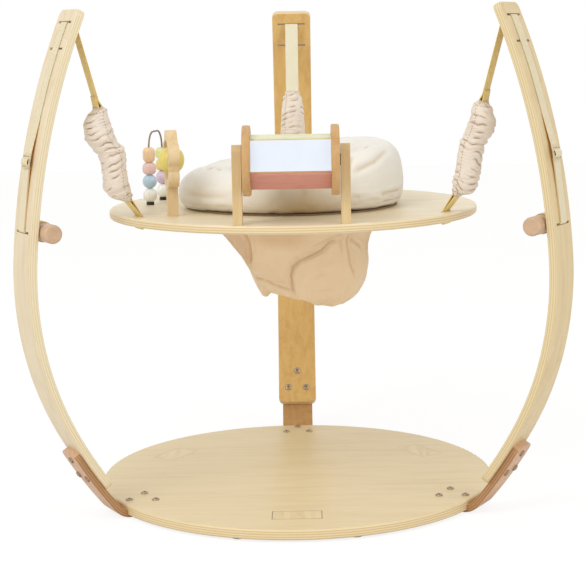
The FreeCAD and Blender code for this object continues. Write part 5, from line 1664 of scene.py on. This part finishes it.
@dataclass
class SeatBag:
    """The cloth seat that hangs in the ring, with its leg openings.

    Attributes:
        levels: Share of the bag's fall, and there the share of its rim's radius and of the shift to the back.
        shift: How far the bottom sits to the back.
        back: Direction of the seat's back, in degrees.
        leg_spread: Direction of the leg openings from straight ahead, in degrees.
        leg_reach: Distance of the leg openings from the middle.
        leg_height: Height of the leg openings above the floor.
        leg_radius: Radius of the leg openings.
        leg_dip: How far the leg openings look down, in degrees.
        thick: Thickness of the cloth.
        eased: How many times the openings' edge is evened out.
        rows: Rows of the sheet from the rim to the bottom.
        around: Corners of each row.
        cut: Width and length of the cloth before it was sewn; not used.
        ripple: Height of its crumples, the ones round it and the ones all over it.
        pulls: Places where the hems hang lower or ride higher, with how far and how wide.
    """

    levels: tuple[Triple, ...] = (
        (0.0, 1.0, 0.0), (0.13, 0.96, 0.0), (0.32, 0.81, 0.14), (0.62, 0.69, 0.44), (0.83, 0.59, 0.53),
        (0.94, 0.45, 0.62), (1.0, 0.3, 0.76))
    shift: float = 0.062
    back: float = 20.0
    leg_spread: float = 68.0
    leg_reach: float = 0.046
    leg_height: float = 0.352
    leg_radius: float = 0.036
    leg_dip: float = 78.0
    thick: float = 0.0016
    eased: int = 12
    rows: int = 130
    around: int = 270
    cut: Pair = (0.98, 0.30)
    ripple: Pair = (0.0026, 0.0014)
    pulls: tuple[tuple[Triple, float, float], ...] = (
        ((-0.010, -0.070, 0.364), -0.015, 0.030), ((-0.009, -0.010, 0.338), 0.034, 0.024),
        ((-0.056, 0.006, 0.351), -0.020, 0.011))

    def sheet(self) -> Piece:
        """The bag's outer cloth as rows round its fall, closed at the bottom, with its leg openings cut."""
        low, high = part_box("seat_bag")
        middle = Vector(((low.x + high.x) / 2, (low.y + high.y) / 2, 0))
        rim, fall = (high.x - low.x) / 2, high.z - low.z
        way = level_point(math.radians(self.back))
        shares = [(place, share) for place, share, _ in self.levels]
        shifts = [(place, shift) for place, _, shift in self.levels]
        rings = []
        for row in range(self.rows + 1):
            place = row / self.rows
            centre = middle + way * spline_between(shifts, place) * self.shift
            radius, level = rim * spline_between(shares, place), high.z - fall * place
            rings.append([centre + level_point(math.tau * k / self.around, radius, level)
                          for k in range(self.around)])
        for row in range(1, 14):
            rings.append([centre + (spot - centre) * (1 - row / 14) for spot in rings[self.rows]])
            for spot in rings[-1]:
                spot.z = low.z
        points, faces = ring_mesh(rings)
        faces.append(tuple(range(len(points) - self.around, len(points))))
        made = mesh_piece("seat_bag_sewn", points, faces)
        self.open_legs(made)
        outward(made)
        return made

    def open_legs(self, piece: Piece) -> None:
        """Cut the leg openings, and lay the cloth's edge on their outline."""
        shape = bmesh.new()
        shape.from_mesh(piece.data)
        dip = math.radians(self.leg_dip)
        for hand in (-1, 1):
            side = level_point(math.radians(self.back + 180 + hand * self.leg_spread))
            aim = side * math.cos(dip) - Vector((0, 0, math.sin(dip)))
            start = side * self.leg_reach + Vector((0, 0, self.leg_height)) - aim * self.leg_radius * 0.6

            def off_axis(spot: Vector) -> tuple[float, Vector]:
                run = spot - start
                along = run.dot(aim)
                return along, run - aim * along

            gone = []
            for face in shape.faces:
                along, span = off_axis(face.calc_center_median())
                if along > 0 and span.length < self.leg_radius:
                    gone.append(face)
            bmesh.ops.delete(shape, geom=gone, context="FACES")
            near = {}
            for edge in (e for e in shape.edges if e.is_boundary):
                for corner, other in (edge.verts, reversed(edge.verts)):
                    along, span = off_axis(corner.co)
                    if along > 0 and abs(span.length - self.leg_radius) < 0.008:
                        near.setdefault(corner, []).append(other)
            for _ in range(self.eased):
                middles = {corner: sum((o.co for o in others), Vector()) / len(others)
                           for corner, others in near.items() if len(others) == 2}
                for corner, spot in middles.items():
                    corner.co = corner.co.lerp(spot, 0.5)
                    _, span = off_axis(corner.co)
                    corner.co += span.normalized() * (self.leg_radius - span.length)
            around = {corner for hem in near for edge in hem.link_edges for corner in edge.verts} - set(near)
            bmesh.ops.smooth_vert(shape, verts=list(around), factor=0.5, use_axis_x=True, use_axis_y=True,
                                  use_axis_z=True)
        shape.to_mesh(piece.data)
        shape.free()

    def folds(self, skin: Skin) -> list[Fold]:
        """Seams and pleats, each along places on the wall; the first two are sewn."""
        def wall(*places: Pair) -> tuple[Vector, ...]:
            return tuple(skin.wall(degrees, height) for degrees, height in places)

        made = [
            Fold(wall((205, 0.385), (220, 0.386), (234, 0.387), (252, 0.385), (267, 0.382)),
                 0.0024, 0.0022, 0.5, 1.0),
            Fold(wall((305, 0.460), (299, 0.455), (294, 0.441), (284, 0.431), (276, 0.424), (270, 0.415),
                      (267, 0.401), (268, 0.387), (271, 0.372)), 0.0028, 0.0030, 1.1, 2.0),
            Fold(wall((233, 0.478), (232, 0.463), (228, 0.446), (220, 0.426), (207, 0.408)),
                 0.0036, 0.0040, 0.9, 1.0),
            Fold(wall((314, 0.472), (314, 0.459), (319, 0.436), (323, 0.414), (328, 0.400), (334, 0.383)),
                 0.0022, 0.0030, 0.8),
            Fold(wall((317, 0.470), (319, 0.458), (332, 0.444), (339, 0.431)), 0.0018, 0.0034, 0.8),
            Fold(wall((307, 0.472), (308, 0.460), (312, 0.443), (315, 0.425)), 0.0014, 0.0040, 0.7),
            Fold(wall((302, 0.468), (292, 0.456), (282, 0.444)), 0.0016, 0.0036, 0.8),
            Fold(wall((342, 0.460), (346, 0.444), (348, 0.414)), 0.0018, 0.0040, 0.7),
            Fold(wall((205, 0.377), (213, 0.369), (224, 0.365)), 0.0014, 0.0034, 0.6),
            Fold(wall((248, 0.379), (256, 0.370), (262, 0.364)), 0.0012, 0.0036, 0.6),
            Fold(wall((286, 0.388), (297, 0.397), (308, 0.400)), 0.0012, 0.0070, 0.8),
            Fold(wall((290, 0.366), (303, 0.369), (316, 0.366)), 0.0010, 0.0040, 0.8),
            Fold(wall((275, 0.413), (279, 0.400), (277, 0.386)), 0.0010, 0.0060, 0.8),
        ]
        for count, degrees in enumerate(range(-6, 204, 15)):
            lean, drop = 7 * math.sin(2.3 * degrees), 0.026 + 0.022 * (count * 5 % 7) / 7
            path = wall((degrees, 0.480), (degrees + lean / 2, 0.470 - drop / 2),
                        (degrees + lean, 0.465 - drop))
            made.append(Fold(path, 0.0026, 0.0044, 0.7, 2.2))
        return made

    def shaded(self, points: np.ndarray) -> np.ndarray:
        """How much painted shade the cloth takes apart from its creases: darker on its left panel, and a
        painted shadow under the tray.
        """
        turn, height = directions(points), points[:, 2]
        edge = np.interp(height, (0.400, 0.4257, 0.4462, 0.4626), (200, 219, 227, 231))
        side = np.clip((edge - turn) / 4, 0, 1) * np.clip((turn - 150) / 30, 0, 1)
        side *= np.clip((height - 0.40) / 0.02, 0, 1)
        # Painted shadow where the tray overhangs the cloth.
        under = np.clip((height - 0.438) / 0.022, 0, 1) * np.clip(1.6 - np.abs(turn - 258) / 18, 0, 1)
        return 0.62 * side + 0.52 * under

    def make(self, material: Material, thread: Material) -> None:
        """Hang the cloth, crumple it, press its seams and sew them."""
        piece = self.sheet()
        low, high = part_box("seat_bag")

        def crumple(spot: Vector) -> float:
            angle = math.atan2(spot.y, spot.x)
            hang = (high.z - spot.z) / (high.z - low.z)
            pleat = noise.noise(Vector((math.cos(angle) * 7, math.sin(angle) * 7, spot.z * 6)))
            soft = noise.noise(spot * 34)
            free = min(1.0, max(0.0, hang * 7 - 0.9))
            return (self.ripple[0] * pleat * (0.35 + hang) + self.ripple[1] * soft) * free

        Skin(piece).ruffle(crumple)
        skin = Skin(piece)
        folds = self.folds(skin)
        skin.press(folds, self.shaded(corners(piece)))
        points = corners(piece)
        for spot, lift, wide in self.pulls:
            points[:, 2] += lift * np.exp(-((points - np.array(spot)) ** 2).sum(1) / (2 * wide ** 2))
        place_corners(piece, points)
        modified(piece, "SOLIDIFY", thickness=self.thick, offset=-1.0)
        piece.data.materials.append(material)
        smoothed(piece)
        skin = Skin(piece)
        hem = [skin.wall(degrees, height) for degrees, height in ((204 + 3 * k, 0.3832) for k in range(21))]
        pouch = [spot + Vector((0.0, -0.0012, 0.0)) for spot in folds[1].path]
        stitched = stitches("seat_bag_stitches", [hem, pouch], thread, 0.0048, 0.0032, 0.0007)
        add_piece(piece, "turning_seat", "bag_cloth", "seat_bag")
        add_piece(stitched, "turning_seat", "bag_cloth")


# -------------------- the toys
@dataclass
class Toys:
    """Drum, flower and bead wire on the tray."""

    def dress_drum(self) -> None:
        """Dress the drum, its panels and its posts."""
        dress(WoodFinish("disc beech", (202, 160, 104), (172, 126, 72), (0.0, 0.2, 1.0)).material(),
              "drum_disc_left", "drum_disc_right")
        dress(WoodFinish("post beech", (216, 190, 140), (198, 162, 108), UPRIGHT).material(),
              "drum_post_left", "drum_post_right")
        dress(WoodFinish("core beech", *BEECH).material(), "drum_core")
        dress(HardFinish("axle steel", (150, 146, 140), 0.3, 1.0).material(), "drum_axle")
        dress(HardFinish("washer plastic", (28, 27, 27), 0.5).material(), "drum_washers")
        dress(self.mirror(), "drum_panel_mirror")
        for name, colour in (("green", (226, 230, 190)), ("pink", (214, 146, 130)),
                             ("yellow", (236, 204, 120)), ("blue", (166, 194, 214))):
            paint = PaintFinish(f"{name} panel paint", colour, (1.0, 0.0, 0.0))
            dress(paint.material(), f"drum_panel_{name}")

    def mirror(self) -> Material:
        """Acrylic mirror, a little cloudy."""
        shader = Shader("acrylic mirror", 0.12, Metallic=0.75, Specular_IOR_Level=0.6)
        cloud = shader.clouds(shader.place(), 30.0, 2.0)
        colour = shader.mix(cloud, (238, 244, 252), (228, 236, 248))
        rough = shader.plus(0.08, shader.times(cloud, 0.1))
        return shader.finish(colour, shader.bump(cloud, 0.00008), rough)

    def dress_flower(self) -> None:
        """Dress the flower and its turning ball."""
        dress(WoodFinish("flower maple", (226, 202, 158), (206, 172, 122), UPRIGHT).material(),
              "flower_board")
        dress(WoodFinish("rod beech", (206, 160, 102), (176, 128, 76), UPRIGHT).material(), "flower_rod")
        dress(PaintFinish("yellow ball paint", (230, 212, 112)).material(), "flower_bead")

    def dress_beads(self) -> None:
        """Dress the wire, its feet and the beads."""
        dress(HardFinish("bent wire", (152, 132, 108), 0.42, 0.6, 0.12, 600.0).material(), "bead_wire")
        dress(HardFinish("ferrule plastic", (30, 29, 28), 0.5).material(), "wire_ferrules")
        colours = {"white_near": (246, 246, 240), "white_far": (246, 246, 240), "blue": (186, 212, 230),
                   "pink": (234, 200, 194), "peach": (240, 204, 162), "lilac": (214, 194, 214),
                   "yellow": (232, 208, 130), "green": (218, 222, 150)}
        for name, colour in colours.items():
            dress(PaintFinish(f"{name} bead paint", colour).material(), f"bead_{name}")

    def dress_all(self) -> None:
        """Dress every toy."""
        self.dress_drum()
        self.dress_flower()
        self.dress_beads()


# -------------------- the studio
@dataclass
class Studio:
    """Camera, plain floor and soft light."""

    eye: Triple = (0.01905, -2.8122, 0.8044)
    way: float = 90.441
    down: float = 9.171
    roll: float = -0.988
    lens: float = 97.98
    sensor: float = 36.0
    ambient: float = 0.80
    tint: tuple[float, float, float, float] = (1.0, 0.985, 0.96, 1.0)
    floor_size: float = 14.0

    def camera(self) -> None:
        """Set the camera."""
        way, down, roll = (math.radians(v) for v in (self.way, self.down, self.roll))
        ahead = Vector((math.cos(down) * math.cos(way), math.cos(down) * math.sin(way), -math.sin(down)))
        right = Vector((math.sin(way), -math.cos(way), 0.0))
        above = right.cross(ahead)
        turned = right * math.cos(roll) + above * math.sin(roll)
        upward = above * math.cos(roll) - right * math.sin(roll)
        data = bpy.data.cameras.new("camera")
        data.lens, data.sensor_width = self.lens, self.sensor
        data.clip_end = 60.0
        made = linked("camera", data)
        basis = Matrix((turned, upward, -ahead)).transposed()
        made.matrix_world = Matrix.Translation(self.eye) @ basis.to_4x4()
        bpy.context.scene.camera = made

    def lamp(self, name: str, place: Triple, aim: Triple,
             size: float, power: float) -> None:
        """Add one large soft white lamp."""
        data = bpy.data.lights.new(name, "AREA")
        data.shape, data.size, data.energy = "DISK", size, power
        made = linked(name, data)
        made.location = place
        made.rotation_euler = (Vector(aim) - Vector(place)).to_track_quat("-Z", "Y").to_euler()

    def backdrop(self) -> None:
        """White world for the camera, and a softer one for the light."""
        world = bpy.data.worlds.new("studio")
        bpy.context.scene.world = world
        world.use_nodes = True
        world.node_tree.nodes.clear()
        graph = Graph(world.node_tree)
        ray = graph.add("ShaderNodeLightPath").outputs
        seen = graph.lay("ShaderNodeMath", {0: ray["Is Camera Ray"], 1: ray["Is Glossy Ray"]},
                         operation="MAXIMUM")
        both = graph.lay("ShaderNodeMath", {0: seen, 1: ray["Is Transmission Ray"]}, operation="MAXIMUM")
        light = graph.lay("ShaderNodeBackground", {"Strength": self.ambient, "Color": self.tint})
        white = graph.lay("ShaderNodeBackground", {"Strength": 1.0, "Color": (1, 1, 1, 1)})
        mixed = graph.lay("ShaderNodeMixShader", {0: both, 1: light, 2: white})
        graph.add("ShaderNodeOutputWorld", {0: mixed})

    def floor(self) -> None:
        """Plain pale floor that keeps a faint shadow."""
        half = self.floor_size / 2
        made = mesh_piece("floor", [(-half, -half, 0), (half, -half, 0), (half, half, 0), (-half, half, 0)],
                          [(0, 1, 2, 3)], smooth=False)
        material = bpy.data.materials.new("studio floor")
        material.use_nodes = True
        material.node_tree.nodes.clear()
        graph = Graph(material.node_tree)
        ray = graph.add("ShaderNodeLightPath").outputs
        share = graph.lay("ShaderNodeMath", {0: ray["Is Camera Ray"], 1: 0.80}, operation="MULTIPLY")
        matt = graph.lay("ShaderNodeBsdfDiffuse", {"Color": (0.9, 0.9, 0.9, 1)})
        glow = graph.lay("ShaderNodeEmission", {"Strength": 1.05})
        mixed = graph.lay("ShaderNodeMixShader", {0: share, 1: matt, 2: glow})
        graph.add("ShaderNodeOutputMaterial", {0: mixed})
        made.data.materials.append(material)

    def build(self) -> None:
        """Set camera, lights, world and floor."""
        bpy.context.scene.view_settings.view_transform = "Standard"
        self.camera()
        self.backdrop()
        self.floor()
        self.lamp("key", (-2.2, -2.6, 3.4), (0, 0, 0.4), 2.2, 62.0)
        self.lamp("fill", (2.6, -2.2, 2.2), (0, 0, 0.4), 2.4, 24.0)


SLEEVES = (
    Sleeve(Side.REAR, 3.7, seam=140.0,
           girth=((0.0, 0.0138), (0.1, 0.0185), (0.25, 0.0218), (0.45, 0.0238), (0.85, 0.0240), (0.95, 0.018),
                  (1.0, 0.014)),
           lean=((0.0, 0.0), (0.5, 0.003), (1.0, 0.0))),
    Sleeve(Side.LEFT, 11.3, seam=105.0,
           girth=((0.0, 0.0120), (0.06, 0.0175), (0.15, 0.0222), (0.28, 0.0240), (0.38, 0.0218),
                  (0.47, 0.0226), (0.55, 0.0218), (0.68, 0.0208), (0.81, 0.0218), (0.88, 0.0190),
                  (0.96, 0.0140), (1.0, 0.0125)),
           lean=((0.0, 0.0), (0.14, 0.0102), (0.28, 0.0116), (0.39, 0.0070), (0.47, 0.0), (0.55, 0.0),
                 (0.68, 0.0048), (0.81, 0.0090), (0.88, 0.0068), (0.96, 0.0030), (1.0, 0.0))),
    Sleeve(Side.RIGHT, 23.9, seam=255.0,
           girth=((0.0, 0.0120), (0.09, 0.0178), (0.18, 0.0214), (0.28, 0.0222), (0.39, 0.0200),
                  (0.46, 0.0207), (0.56, 0.0207), (0.77, 0.0208), (0.87, 0.0208), (0.94, 0.0160),
                  (1.0, 0.0130)),
           lean=((0.0, 0.0), (0.09, 0.0020), (0.18, 0.0078), (0.28, 0.0070), (0.39, 0.0030), (0.46, 0.0),
                 (0.56, 0.0012), (0.77, 0.0052), (0.87, 0.0052), (0.94, 0.0046), (1.0, 0.0))),
)


def main() -> None:
    """Build every sub-assembly in order."""
    logging.basicConfig(level=logging.INFO, format="%(name)s: %(message)s")
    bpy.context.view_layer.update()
    Woodwork().dress_all()
    Fasteners().make()
    # Lit and shaded copies of one webbing: the golden one is painted shade for the side arms' hanging runs
    # and short straps, the paler ones painted light for the runs outside the arms and for the rear arm's
    # straps.
    shaded_webbing = WebbingFinish("strap webbing", (250, 226, 150), (232, 196, 106)).material()
    pale = WebbingFinish("outer strap webbing", (238, 226, 194), (220, 202, 156)).material()
    lit_rear_webbing = WebbingFinish("pale strap webbing", (243, 238, 212), (226, 212, 172)).material()
    steel = HardFinish("spring steel", (176, 176, 172), 0.3, 1.0, 0.1, 800.0).material()
    plastic = HardFinish("adjuster plastic", (222, 206, 166), 0.45).material()
    ring = HardFinish("ring plastic", (140, 114, 78), 0.6).material()
    # Each cloth's third colour and share are its painted shade.
    gathered = ClothFinish("sleeve cotton", (237, 226, 212), (218, 201, 182), (182, 144, 104), 0.75,
                           crumple=0.0006).material()
    padded = ClothFinish("collar cotton", (243, 240, 232), (235, 229, 217), (184, 144, 54), 0.9,
                         crumple=0.0013).material()
    bag = ClothFinish("seat cotton", (241, 216, 180), (227, 198, 160), (202, 152, 102), 0.8,
                      crumple=0.0016).material()
    thread = ClothFinish("sewing thread", (214, 194, 164), (196, 170, 134), thread=0.0004).material()
    dark_thread = ClothFinish("sleeve thread", (168, 138, 106), (146, 116, 86), thread=0.0004).material()
    for side in Side:
        Webbing(side).make(lit_rear_webbing if side is Side.REAR else shaded_webbing, lit_rear_webbing if side is Side.REAR else pale)
        Spring(side).make(steel)
        dress(plastic, f"adjuster_{side.label}")
    for sleeve in SLEEVES:
        sleeve.make(gathered, dark_thread)
    dress(ring, "seat_ring", "seat_keeper")
    Collar().make(padded, thread)
    SeatBag().make(bag, thread)
    Toys().dress_all()
    Studio().build()
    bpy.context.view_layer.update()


if __name__ == "__main__":
    main()
